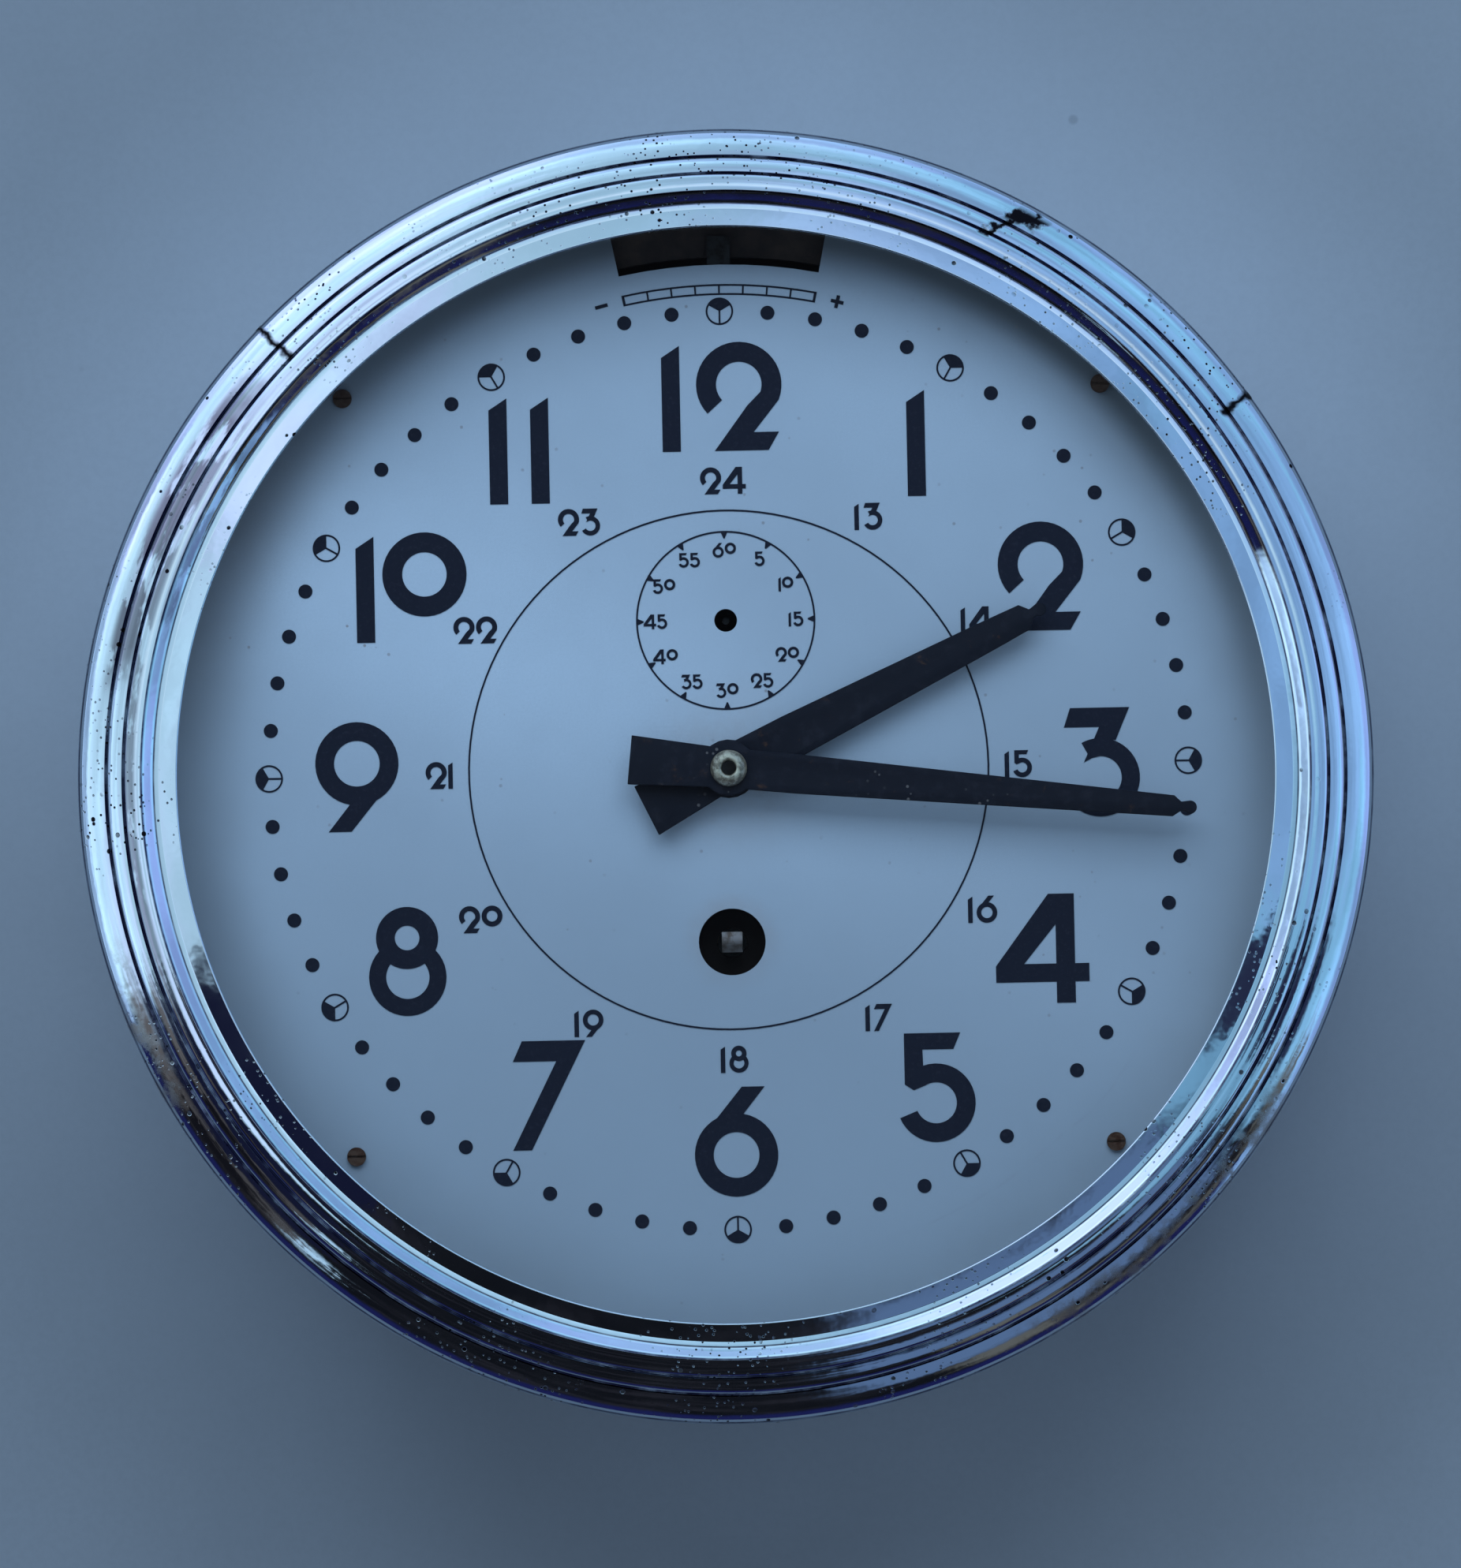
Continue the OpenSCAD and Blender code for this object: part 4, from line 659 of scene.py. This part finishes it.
def finish_of(slot):
    """The material for a slot of the record, or for the brass behind the dial with its painted shade, made
    once.
    """
    if slot not in FINISHES:
        colours = bpy.context.scene.clock_colours
        brass, steel = tuple(colours.brass), tuple(colours.steel)
        makers = {
            "bezel_chrome": lambda: chrome_plate(colours),
            "case_chrome": lambda: dull_chrome(colours),
            "glass": clear_glass,
            "brass": lambda: turned_brass("plate_brass", brass, 0.3),
            "wheel_brass": lambda: turned_brass("wheel_brass", scaled(brass, 1.08), 0.2),
            "steel": lambda: ground_steel("ground_steel", steel, 0.25),
            "rusty_steel": rusty_steel,
            "spring_steel": lambda: ground_steel("blued_steel", (0.10, 0.13, 0.26), 0.22),
            "silvered": lambda: silvered_plate(colours),
            "ink": lambda: printed_ink(colours),
            "black_metal": lambda: hand_black(colours),
            "nut_metal": nut_plate,
            "shaded_brass": shaded_brass,
        }
        FINISHES[slot] = makers[slot]()
    return FINISHES[slot]


# Mesh building


def piece(name, verts, faces, body, slot, node, sharp, bevel=0.0):
    """A mesh from points in metres, riding on a body and standing for a node.

    Edges steeper than sharp, in degrees, stay crisp; bevel is in mm."""
    mesh = bpy.data.meshes.new(name)
    mesh.from_pydata(verts, [], faces)
    bm = bmesh.new()
    bm.from_mesh(mesh)
    bmesh.ops.remove_doubles(bm, verts=bm.verts, dist=SAME_POINT)
    bmesh.ops.recalc_face_normals(bm, faces=bm.faces)
    bm.to_mesh(mesh)
    bm.free()
    obj = bpy.data.objects.new(name, mesh)
    bpy.context.scene.collection.objects.link(obj)
    if bevel:
        mesh = bevelled(obj, bevel * MM)
    mesh.polygons.foreach_set("use_smooth", [True] * len(mesh.polygons))
    mesh.set_sharp_from_angle(angle=math.radians(sharp))
    mesh.materials.append(finish_of(slot))
    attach(obj, body)
    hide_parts(node)


def bevelled(obj, width):
    """Bevels an object's sharp edges and returns its new mesh."""
    edge = obj.modifiers.new("edge", "BEVEL")
    edge.width = width
    edge.segments = 3
    edge.limit_method = "ANGLE"
    edge.angle_limit = math.radians(40)
    graph = bpy.context.evaluated_depsgraph_get()
    mesh = bpy.data.meshes.new_from_object(obj.evaluated_get(graph))
    obj.modifiers.clear()
    obj.data = mesh
    return mesh


def turned(section, steps):
    """Points and faces of a ring or disc turned round the clock's axis.

    section is a closed outline of radius and distance from the wall, in mm; a first and last
    point on the axis close the disc."""
    verts, faces = [], []
    count = len(section)
    closed = section[0][0] > 0 or section[-1][0] > 0
    for i in range(steps):
        a = 2 * math.pi * i / steps
        for r, d in section:
            verts.append((r * math.sin(a) * MM, -d * MM, r * math.cos(a) * MM))
    for i in range(steps):
        here, there = i * count, (i + 1) % steps * count
        for j in range(count if closed else count - 1):
            k = (j + 1) % count
            faces.append((here + j, here + k, there + k, there + j))
    return verts, faces


def rounded(corners, steps=4):
    """An outline whose corners, given as x, y and radius, are rounded."""
    almost_straight = math.pi - 0.02
    out = []
    for i, (x, y, r) in enumerate(corners):
        here = Vector((x, y))
        before = Vector(corners[i - 1][:2]) - here
        after = Vector(corners[(i + 1) % len(corners)][:2]) - here
        turn = before.angle(after)
        if r <= 0 or turn > almost_straight:
            out.append((x, y))
            continue
        back = min(r / math.tan(turn / 2), before.length * 0.48, after.length * 0.48)
        a = here + before.normalized() * back
        b = here + after.normalized() * back
        for s in range(steps + 1):
            t = s / steps
            p = a * (1 - t) ** 2 + here * 2 * t * (1 - t) + b * t * t
            out.append((p.x, p.y))
    return out


def bow(a, b, rise, steps):
    """Points of an arc from a to b that bulges to its left by rise."""
    a, b = Vector(a), Vector(b)
    along = b - a
    side = Vector((-along.y, along.x)).normalized()
    half = along.length / 2
    radius = (half * half + rise * rise) / (2 * rise)
    middle = (a + b) / 2 - side * (radius - rise)
    spread = math.asin(half / radius)
    points = []
    for i in range(steps + 1):
        t = spread * (2 * i / steps - 1)
        p = middle + radius * (side * math.cos(t) + along.normalized() * math.sin(t))
        points.append((p.x, p.y, 0))
    return points


def cut_plate(outline, bore, low, high):
    """Points and faces of a flat plate with a bore, cut along outlines in mm, from distance low to high.

    The fill leaves the order of its points and faces to chance, so both are put in order of place."""
    bm = bmesh.new()
    for loop in (outline, bore):
        ring = [bm.verts.new((x * MM, -low * MM, y * MM)) for x, y in loop]
        for i, v in enumerate(ring):
            bm.edges.new((v, ring[(i + 1) % len(ring)]))
    bmesh.ops.triangle_fill(bm, use_beauty=True, edges=bm.edges[:])
    bmesh.ops.dissolve_limit(bm, angle_limit=0.01, verts=bm.verts[:], edges=bm.edges[:])
    grown = bmesh.ops.extrude_face_region(bm, geom=bm.faces[:])
    up = [g for g in grown["geom"] if isinstance(g, bmesh.types.BMVert)]
    bmesh.ops.translate(bm, vec=(0, -(high - low) * MM, 0), verts=up)
    verts = sorted(v.co[:] for v in bm.verts)
    number = {point: i for i, point in enumerate(verts)}
    faces = []
    for face in bm.faces:
        ring = [number[v.co[:]] for v in face.verts]
        start = ring.index(min(ring))
        faces.append(ring[start:] + ring[:start])
    bm.free()
    return verts, sorted(faces)


def copy_of(node, name):
    """A piece with the shape of a CAD node, which it stands for."""
    mesh = NODES[node].data.copy()
    mesh.name = name
    mesh.materials.clear()
    mesh.materials.append(finish_of(SLOTS[node]))
    obj = bpy.data.objects.new(name, mesh)
    bpy.context.scene.collection.objects.link(obj)
    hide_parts(node)
    return obj


def islands(bm):
    """The points of each separate shape in a mesh."""
    found, seen = [], set()
    for first in bm.verts:
        if first in seen:
            continue
        seen.add(first)
        island, todo = [], [first]
        while todo:
            point = todo.pop()
            island.append(point)
            for edge in point.link_edges:
                other = edge.other_vert(point)
                if other not in seen:
                    seen.add(other)
                    todo.append(other)
        found.append(island)
    return found


def circle(r, steps):
    """An outline of points round the clock's axis."""
    angles = [2 * math.pi * i / steps for i in range(steps)]
    return [(r * math.cos(a), r * math.sin(a)) for a in angles]


def turn_outline(outline, clockwise):
    """An outline turned round the clock's axis."""
    s, c = math.sin(clockwise), math.cos(clockwise)
    return [(x * c + y * s, -x * s + y * c) for x, y in outline]


def cover(node, material):
    """Gives a kept node one material all over."""
    for slot in NODES[node].material_slots:
        slot.material = material


def paint(*nodes):
    """Gives kept nodes the finish of their slot in the record."""
    for node in nodes:
        cover(node, finish_of(SLOTS[node]))


# How light the steel is that shows through the dial's openings; the low values are painted shade for their
# dark inside
DARKENED = {"barrel_arbor": 0.11, "regulator_index": 0.022, "centre_arbor": 0.012, "fourth_arbor": 0.012}


def blacken(*nodes):
    """Gives kept nodes that show through the dial's openings their dark finish, which is painted shade for
    the dark inside of the openings.
    """
    for node in nodes:
        if node in DARKENED:
            cover(node, dark_steel(node, DARKENED[node]))
        else:
            cover(node, finish_of("shaded_brass"))


# Pieces


class CLOCK_OT_bezel(bpy.types.Operator):
    """Turns the stepped chrome bezel"""

    bl_idname = "clock.bezel"
    bl_label = "Bezel"

    def execute(self, context):
        sizes = context.scene.clock_sizes
        top = sizes.bezel_front / MM
        face = sizes.glass_front / MM
        lip = sizes.lip_radius / MM
        out = sizes.bezel_radius / MM
        back = sizes.bezel_back / MM
        bore, seat, skirt_inside, hollow = 97.0, 101.4, out - 2.2, top - 7.6
        seat_back = 51.2
        # The lip in front of the glass, and the cone down to the foot of the ridge
        section = [(lip, face, 0.1), (lip, face + 2.1, 0.2), (lip + 0.2, face + 2.2, 0.2)]
        section += [(95.9, face + 1.05, 0.5), (96.9, face + 0.95, 0.2)]
        # The ridge, its outer flat and the first groove
        section += bow((97.05, face + 1.05), (98.75, top - 0.1), 0.01, 4)
        section += [(98.95, top, 0.2), (99.2, top - 0.1, 0.2)]
        section += bow((99.4, top - 0.2), (101.6, top - 0.95), 0.1, 6)
        section += [(101.9, top - 1.5, 0.1)]
        # The middle step and the second groove, then the outer step and its rim
        section += bow((102.2, top - 1.15), (104.6, top - 2.45), 0.15, 8)
        section += [(104.9, top - 3.1, 0.1)]
        section += bow((105.2, top - 2.75), (109.3, top - 5.2), 0.21, 12)
        section += bow((109.35, top - 5.3), (out, top - 7.8), 0.28, 6)
        # The skirt, the hollow behind the steps and the bore for the glass
        section += [(out, back, 0.3), (skirt_inside, back, 0.3), (skirt_inside, top - 11.6, 0.5)]
        section += [(103.8, hollow, 0.3), (seat, hollow, 0.1), (seat, seat_back, 0.1)]
        section += [(bore, seat_back, 0.1), (bore, face, 0.0)]
        verts, faces = turned(rounded(section), 360)
        # The rings hang a little off centre, but the bore that holds the glass doesn't
        in_front = (face + 0.01) * MM
        bore_from, bore_to = (lip + 0.3) * MM, 103 * MM
        for i, (x, y, z) in enumerate(verts):
            if -y > in_front or not bore_from < math.hypot(x, z) < bore_to:
                verts[i] = (x - sizes.bezel_side, y, z - sizes.bezel_drop)
        piece("bezel", verts, faces, "bezel", "bezel_chrome", "bezel_ring", 38)
        return {"FINISHED"}


class CLOCK_OT_glass(bpy.types.Operator):
    """Cuts the flat glass and finishes the ring that holds it"""

    bl_idname = "clock.glass"
    bl_label = "Glass"

    def execute(self, context):
        sizes = context.scene.clock_sizes
        front, back = sizes.glass_front / MM, sizes.glass_back / MM
        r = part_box("glass")[1].x / MM
        edge = 0.3
        section = [(0, back), (r - edge, back), (r, back + edge)]
        section += [(r, front - edge), (r - edge, front), (0, front)]
        verts, faces = turned(section, 180)
        piece("crystal", verts, faces, "bezel", "glass", "glass", 32)
        paint("glass_retainer", "hinge_leaf_bezel")
        return {"FINISHED"}


class CLOCK_OT_dial(bpy.types.Operator):
    """Finishes the silvered dial, its seat and its screws"""

    bl_idname = "clock.dial"
    bl_label = "Dial"

    def execute(self, context):
        paint("dial_plate", "dial_screws")
        blacken("dial_seat_ring")
        return {"FINISHED"}


# How far each hour numeral was printed off its even place, to the right and up, in mm
OFF_PLACE = {
    1: (1.4, 0.5),
    2: (-1.1, 0.3),
    4: (-2.1, 0.1),
    5: (2.8, 0.0),
    8: (-0.5, 0.1),
    10: (1.4, 0.5),
    11: (-3.0, 0.5),
    12: (0.0, 0.4),
}


def print_hours():
    """Prints the hour numerals with their small errors of place."""
    obj = copy_of("hour_numerals", "hour_print")
    bm = bmesh.new()
    bm.from_mesh(obj.data)
    bmesh.ops.remove_doubles(bm, verts=bm.verts, dist=SAME_POINT)
    for island in islands(bm):
        xs, zs = [v.co.x for v in island], [v.co.z for v in island]
        angle = math.degrees(math.atan2(min(xs) + max(xs), min(zs) + max(zs)))
        hour = round(angle / 30) % 12 or 12
        right, up = OFF_PLACE.get(hour, (0, 0))
        for v in island:
            v.co.x += right * MM
            v.co.z += up * MM
    bm.to_mesh(obj.data)
    bm.free()
    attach(obj, "case")


class CLOCK_OT_printing(bpy.types.Operator):
    """Inks the numerals, tracks and scales"""

    bl_idname = "clock.printing"
    bl_label = "Printing"

    def execute(self, context):
        print_hours()
        paint("day_numerals", "minute_track", "seconds_ring", "regulator_scale")
        return {"FINISHED"}


# Each hand's hub radius, distances from the centre and half widths, in mm
HAND_FORMS = {
    "hour_hand": {
        "hub": 5.0,
        "root_half": 3.8,
        "middle": 50,
        "middle_half": 2.6,
        "end_half": 2.3,
        "tail": 15.7,
        "tail_half": 4.65,
    },
    "minute_hand": {
        "hub": 4.7,
        "root_half": 3.35,
        "middle": 52,
        "middle_half": 2.4,
        "end_half": 1.8,
        "tail": 16.9,
        "tail_half": 4.2,
    },
}


def hand_outline(length, hub, root_half, middle, middle_half, end_half, tail, tail_half):
    """Outline in mm of a hand that points to twelve: tail, round hub, tapered blade, neck and nib."""
    neck_half, nib_radius, root = 0.8, 1.15, 12.0
    blade = [(root_half, root), (middle_half, middle), (end_half, length - 4.0), (neck_half, length - 2.7)]
    nib = [(neck_half, length - 1.9)]
    for i in range(1, 12):
        t = math.radians(-40 + i * 22)
        nib.append((nib_radius * math.cos(t), length - nib_radius + nib_radius * math.sin(t)))
    hub_side = []
    start = math.asin(min(1, root_half / hub))
    for i in range(7):
        t = math.radians(90) - start - (math.radians(150) - start) * i / 6
        hub_side.append((hub * math.cos(t), hub * math.sin(t)))
    hub_side = [p for p in hub_side if p[1] > -hub * 0.8]
    right = [(tail_half, -tail)] + hub_side[::-1] + blade
    left = [(-x, y) for x, y in right[::-1]]
    return right + nib + left


class CLOCK_OT_hands(bpy.types.Operator):
    """Cuts the two black hands and turns the centre nut"""

    bl_idname = "clock.hands"
    bl_label = "Hands"

    def execute(self, context):
        sizes = context.scene.clock_sizes
        for hand, length, angle, bore in (
            ("hour", sizes.hour_length, sizes.hour_angle, 3.42),
            ("minute", sizes.minute_length, sizes.minute_angle, 2.22),
        ):
            node = hand + "_hand"
            outline = turn_outline(hand_outline(length / MM, **HAND_FORMS[node]), angle)
            verts, faces = cut_plate(outline, circle(bore, 48), near_edge(node) / MM, far_edge(node) / MM)
            piece(hand + "_blade", verts, faces, node + "_group", "black_metal", node, 50, 0.16)
        low, high = near_edge("hand_nut") / MM, far_edge("hand_nut") / MM
        bore, wide = 1.25, 3.1
        section = [(bore, low), (3.0, low), (wide, low + 0.15), (wide, low + 0.7), (2.95, low + 1.2)]
        section += [(2.6, low + 1.65), (2.1, high - 0.1), (1.7, high), (1.4, high - 0.1), (bore, high - 0.4)]
        verts, faces = turned(section, 72)
        piece("centre_nut", verts, faces, "minute_hand_group", "nut_metal", "hand_nut", 60)
        paint("cannon_pinion", "hour_wheel", "minute_wheel")
        return {"FINISHED"}


class CLOCK_OT_case(bpy.types.Operator):
    """Finishes the drum, the hinge and the catch"""

    bl_idname = "clock.case"
    bl_label = "Case"

    def execute(self, context):
        paint("case_drum", "hinge_leaf_case", "hinge_pin", "catch_spring", "leaf_screws")
        return {"FINISHED"}


def bend_click_spring():
    """Cuts the click's spring into slices along its length."""
    obj = copy_of("click_spring", "click_blade")
    root, tip = Vector((-0.0120, 0, -0.0140)), Vector((-0.0025, 0, -0.0182))
    slices = 12
    bm = bmesh.new()
    bm.from_mesh(obj.data)
    for i in range(slices + 1):
        everything = bm.verts[:] + bm.edges[:] + bm.faces[:]
        bmesh.ops.bisect_plane(bm, geom=everything, plane_co=root.lerp(tip, i / slices), plane_no=tip - root)
    bm.to_mesh(obj.data)
    bm.free()
    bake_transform(obj)


class CLOCK_OT_movement(bpy.types.Operator):
    """Finishes the plates, wheels, arbors and springs of the movement"""

    bl_idname = "clock.movement"
    bl_label = "Movement"

    def execute(self, context):
        paint("back_plate", "pillars", "plate_screws", "dial_feet", "foot_screws")
        blacken("front_plate", "regulator_index", "barrel_arbor", "centre_arbor", "fourth_arbor")
        paint("barrel", "barrel_cap", "mainspring", "ratchet_wheel", "ratchet_click")
        bend_click_spring()
        paint("click_screws", "intermediate_arbor", "intermediate_wheel")
        paint("centre_wheel", "third_arbor", "third_wheel", "fourth_wheel")
        paint("escape_arbor", "escape_wheel", "pallet_fork", "pallet_arbor", "balance_wheel")
        paint("balance_staff", "hairspring", "hairspring_stud", "balance_cock", "cock_screws")
        return {"FINISHED"}


def daylight(colours):
    """Surroundings as a function of direction: open sky above and in front, dark ground below."""
    world = bpy.data.worlds.new("daylight")
    tree = Tree(world, "ShaderNodeOutputWorld")
    way = tree.add("ShaderNodeTexCoord").outputs["Generated"]
    axes = tree.add("ShaderNodeSeparateXYZ", {0: way}).outputs
    polar = tree.calc("DEGREES", tree.calc("ARCCOSINE", tree.times(axes[1], -1.0)))
    clock = tree.calc("DEGREES", tree.calc("ARCTAN2", axes[0], axes[2]))
    ragged = tree.times(tree.minus(tree.noise(way, 9, 4), 0.5), 0.12)
    # Steep steps see the skyline more tilted and a little lower
    steep = tree.step(polar, 72, 78)
    lean = tree.times(axes[0], tree.plus(0.088, tree.times(steep, 0.1)))
    height = tree.plus(tree.plus(axes[2], lean), ragged)
    height = tree.plus(height, tree.times(steep, 0.12))
    above = tree.step(height, -0.40, -0.33)

    # What metal and glass reflect
    clouds = tree.step(tree.noise(way, 3.0, 3), 0.35, 0.7, 0.8, 1.25)
    tone = tree.colours(tree.step(tree.noise(way, 1.7, 3), 0.42, 0.6), colours.sky, (0.52, 0.66, 1.0))
    clouds = tree.times(clouds, tree.step(polar, 50, 84, 0.8, 1.35))
    sky = tree.brighten(tone, clouds)
    lumps = tree.step(tree.noise(way, 7, 4), 0.45, 0.7)
    ground = tree.colours(lumps, (0.006, 0.007, 0.010), (0.018, 0.018, 0.024))
    ground = tree.colours(steep, ground, (0.011, 0.014, 0.08))
    # The sky is whiter to the left and deeper blue to the right
    left = tree.colours(steep, (1.6, 1.5, 1.32), (1.05, 1.0, 1.05))
    right = tree.colours(steep, (0.58, 0.80, 0.86), (0.45, 0.50, 0.62))
    across = tree.colours(tree.step(axes[0], -0.5, 0.55), left, right)
    sky = tree.colours(1.0, sky, across, "MULTIPLY")
    seen = tree.colours(above, ground, sky)

    torn = tree.times(tree.minus(tree.noise(way, 14, 4, 0.6), 0.5), 16)
    torn_clock = tree.plus(clock, torn)
    torn_polar = tree.minus(polar, torn)

    def patch(low, high, first, last, soft, tint, share=1.0):
        """Lays a tint over part of the view, between two angles from the front and two round the clock."""
        inside = tree.between(torn_polar, low, high, 3)
        inside = tree.times(inside, tree.between(torn_clock, first, last, soft))
        return tree.colours(inside if share == 1.0 else tree.times(inside, share), seen, tint)

    # Low on the left a gap of sky beside a wall, whose middle is darker
    seen = patch(56, 69, -138.5, -134, 1.2, (0.55, 0.80, 1.0))
    seen = patch(53, 69, -133, -106, 3, (0.13, 0.12, 0.12))
    seen = patch(55, 71, -131, -116, 3, (0.007, 0.007, 0.010))
    # Low on the right two dark walls one behind the other, and a blue patch nearer the front
    seen = patch(60, 73, 114, 158, 4, (0.13, 0.13, 0.12))
    seen = patch(56, 70, 122, 148, 4, (0.012, 0.012, 0.016))
    seen = patch(38, 60, 128, 169, 3, (0.11, 0.18, 0.32))
    # Dark ends of the sky that the lip shows low on both sides
    seen = patch(36, 52, -136, -106, 1.2, (0.008, 0.010, 0.03))
    seen = patch(36, 52, 105, 117, 1.5, (0.02, 0.025, 0.06))
    # A grey house far out on the left, which the ridge's inner side shows on the right
    seen = patch(76, 90, -104, -56, 10, (0.03, 0.035, 0.06), 0.5)
    # The sky is palest high up in front of the dial, and a dark spot faces it
    pale = tree.times(tree.between(polar, 18, 34, 6), tree.step(axes[2], -0.1, 0.3))
    seen = tree.colours(tree.times(pale, 0.5), seen, (1.0, 1.2, 1.3))
    seen = tree.colours(tree.step(polar, 7.0, 9.5, 1, 0), seen, (0.03, 0.035, 0.05))

    # What fills the shadows of the matt surfaces
    lit = tree.colours(above, (0.48, 0.50, 0.53), scaled(colours.daylight, 0.54))
    glossy = tree.add("ShaderNodeLightPath").outputs["Is Glossy Ray"]
    tree.show(tree.add("ShaderNodeBackground", {"Color": tree.colours(glossy, lit, seen), "Strength": 1.0}))
    return world


# The wall and the window that lights it, in metres and watts
WALL_HALF = 1.6
WALL_GAP = 0.0002
WINDOW_WIDTH, WINDOW_HEIGHT, WINDOW_POWER = 1.2, 0.7, 13
WINDOW_PLACE = Vector((-0.10, -0.78, 0.66))
WINDOW_AIM = Vector((0, -0.05, 0))
# The camera's film and lens in mm, where it looks and how far it is from there in metres, and its tilt
# and roll in degrees
FILM_WIDTH, LENS = 36, 208.6
CAMERA_AIM = Vector((0.00025, -0.051, -0.0025))
CAMERA_AWAY = 1.549
CAMERA_TILT, CAMERA_ROLL = -2, -1.17


def set_wall(scene, colours):
    """A wall round the clock. Light reaches the drum's back through an opening that the drum hides."""
    opening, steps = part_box("case_drum")[1].x - 0.0015, 96
    points, faces = [], []
    for i in range(steps):
        a = 2 * math.pi * i / steps
        s, c = math.sin(a), math.cos(a)
        out = WALL_HALF / max(abs(s), abs(c))
        points += [(opening * s, WALL_GAP, opening * c), (out * s, WALL_GAP, out * c)]
        j = (i + 1) % steps
        faces.append((2 * i, 2 * j, 2 * j + 1, 2 * i + 1))
    mesh = bpy.data.meshes.new("wall")
    mesh.from_pydata(points, [], faces)
    mesh.materials.append(wall_paint(colours))
    wall = bpy.data.objects.new("wall", mesh)
    scene.collection.objects.link(wall)


def set_window(scene, colours):
    """A wide soft window high in front, which the metal doesn't show."""
    lamp = bpy.data.lights.new("window", "AREA")
    lamp.shape = "RECTANGLE"
    lamp.energy = WINDOW_POWER
    lamp.size = WINDOW_WIDTH
    lamp.size_y = WINDOW_HEIGHT
    lamp.color = tuple(colours.daylight)
    window = bpy.data.objects.new("window", lamp)
    window.location = WINDOW_PLACE
    window.rotation_euler = (WINDOW_AIM - WINDOW_PLACE).to_track_quat("-Z", "Y").to_euler()
    window.visible_glossy = False
    scene.collection.objects.link(window)


def set_camera(scene):
    """The camera, straight in front, a little low and rolled as the photograph was."""
    data = bpy.data.cameras.new("camera")
    data.lens = LENS
    data.sensor_width = FILM_WIDTH
    camera = bpy.data.objects.new("camera", data)
    scene.collection.objects.link(camera)
    tilt = math.radians(CAMERA_TILT)
    back = Vector((0, -math.cos(tilt), math.sin(tilt)))
    look = (-back).to_track_quat("-Z", "Y").to_matrix()
    roll = Matrix.Rotation(math.radians(CAMERA_ROLL), 3, "Z")
    camera.matrix_world = Matrix.Translation(CAMERA_AIM + back * CAMERA_AWAY) @ (look @ roll).to_4x4()
    scene.camera = camera


class CLOCK_OT_stage(bpy.types.Operator):
    """Sets the wall, the daylight and the camera"""

    bl_idname = "clock.stage"
    bl_label = "Stage"

    def execute(self, context):
        scene = context.scene
        set_wall(scene, scene.clock_colours)
        scene.world = daylight(scene.clock_colours)
        set_window(scene, scene.clock_colours)
        set_camera(scene)
        scene.view_settings.view_transform = "Standard"
        return {"FINISHED"}


class CLOCK_PT_panel(bpy.types.Panel):
    """Lists the pieces of the clock"""

    bl_label = "Ship clock"
    bl_idname = "CLOCK_PT_panel"
    bl_space_type = "VIEW_3D"
    bl_region_type = "UI"
    bl_category = "Ship clock"

    def draw(self, context):
        for operator in OPERATORS:
            self.layout.operator(operator.bl_idname)
        for group in (context.scene.clock_sizes, context.scene.clock_colours):
            for key in group.__annotations__:
                self.layout.prop(group, key)


OPERATORS = (
    CLOCK_OT_stage,
    CLOCK_OT_bezel,
    CLOCK_OT_glass,
    CLOCK_OT_dial,
    CLOCK_OT_printing,
    CLOCK_OT_hands,
    CLOCK_OT_case,
    CLOCK_OT_movement,
)
CLASSES = (ClockSizes, ClockColours, *OPERATORS, CLOCK_PT_panel)


def register():
    for item in CLASSES:
        bpy.utils.register_class(item)
    bpy.types.Scene.clock_sizes = bpy.props.PointerProperty(type=ClockSizes)
    bpy.types.Scene.clock_colours = bpy.props.PointerProperty(type=ClockColours)


def unregister():
    del bpy.types.Scene.clock_sizes
    del bpy.types.Scene.clock_colours
    for item in reversed(CLASSES):
        bpy.utils.unregister_class(item)


def main():
    """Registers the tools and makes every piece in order."""
    register()
    bpy.ops.clock.stage()
    bpy.ops.clock.bezel()
    bpy.ops.clock.glass()
    bpy.ops.clock.dial()
    bpy.ops.clock.printing()
    bpy.ops.clock.hands()
    bpy.ops.clock.case()
    bpy.ops.clock.movement()


if __name__ == "__main__":
    main()
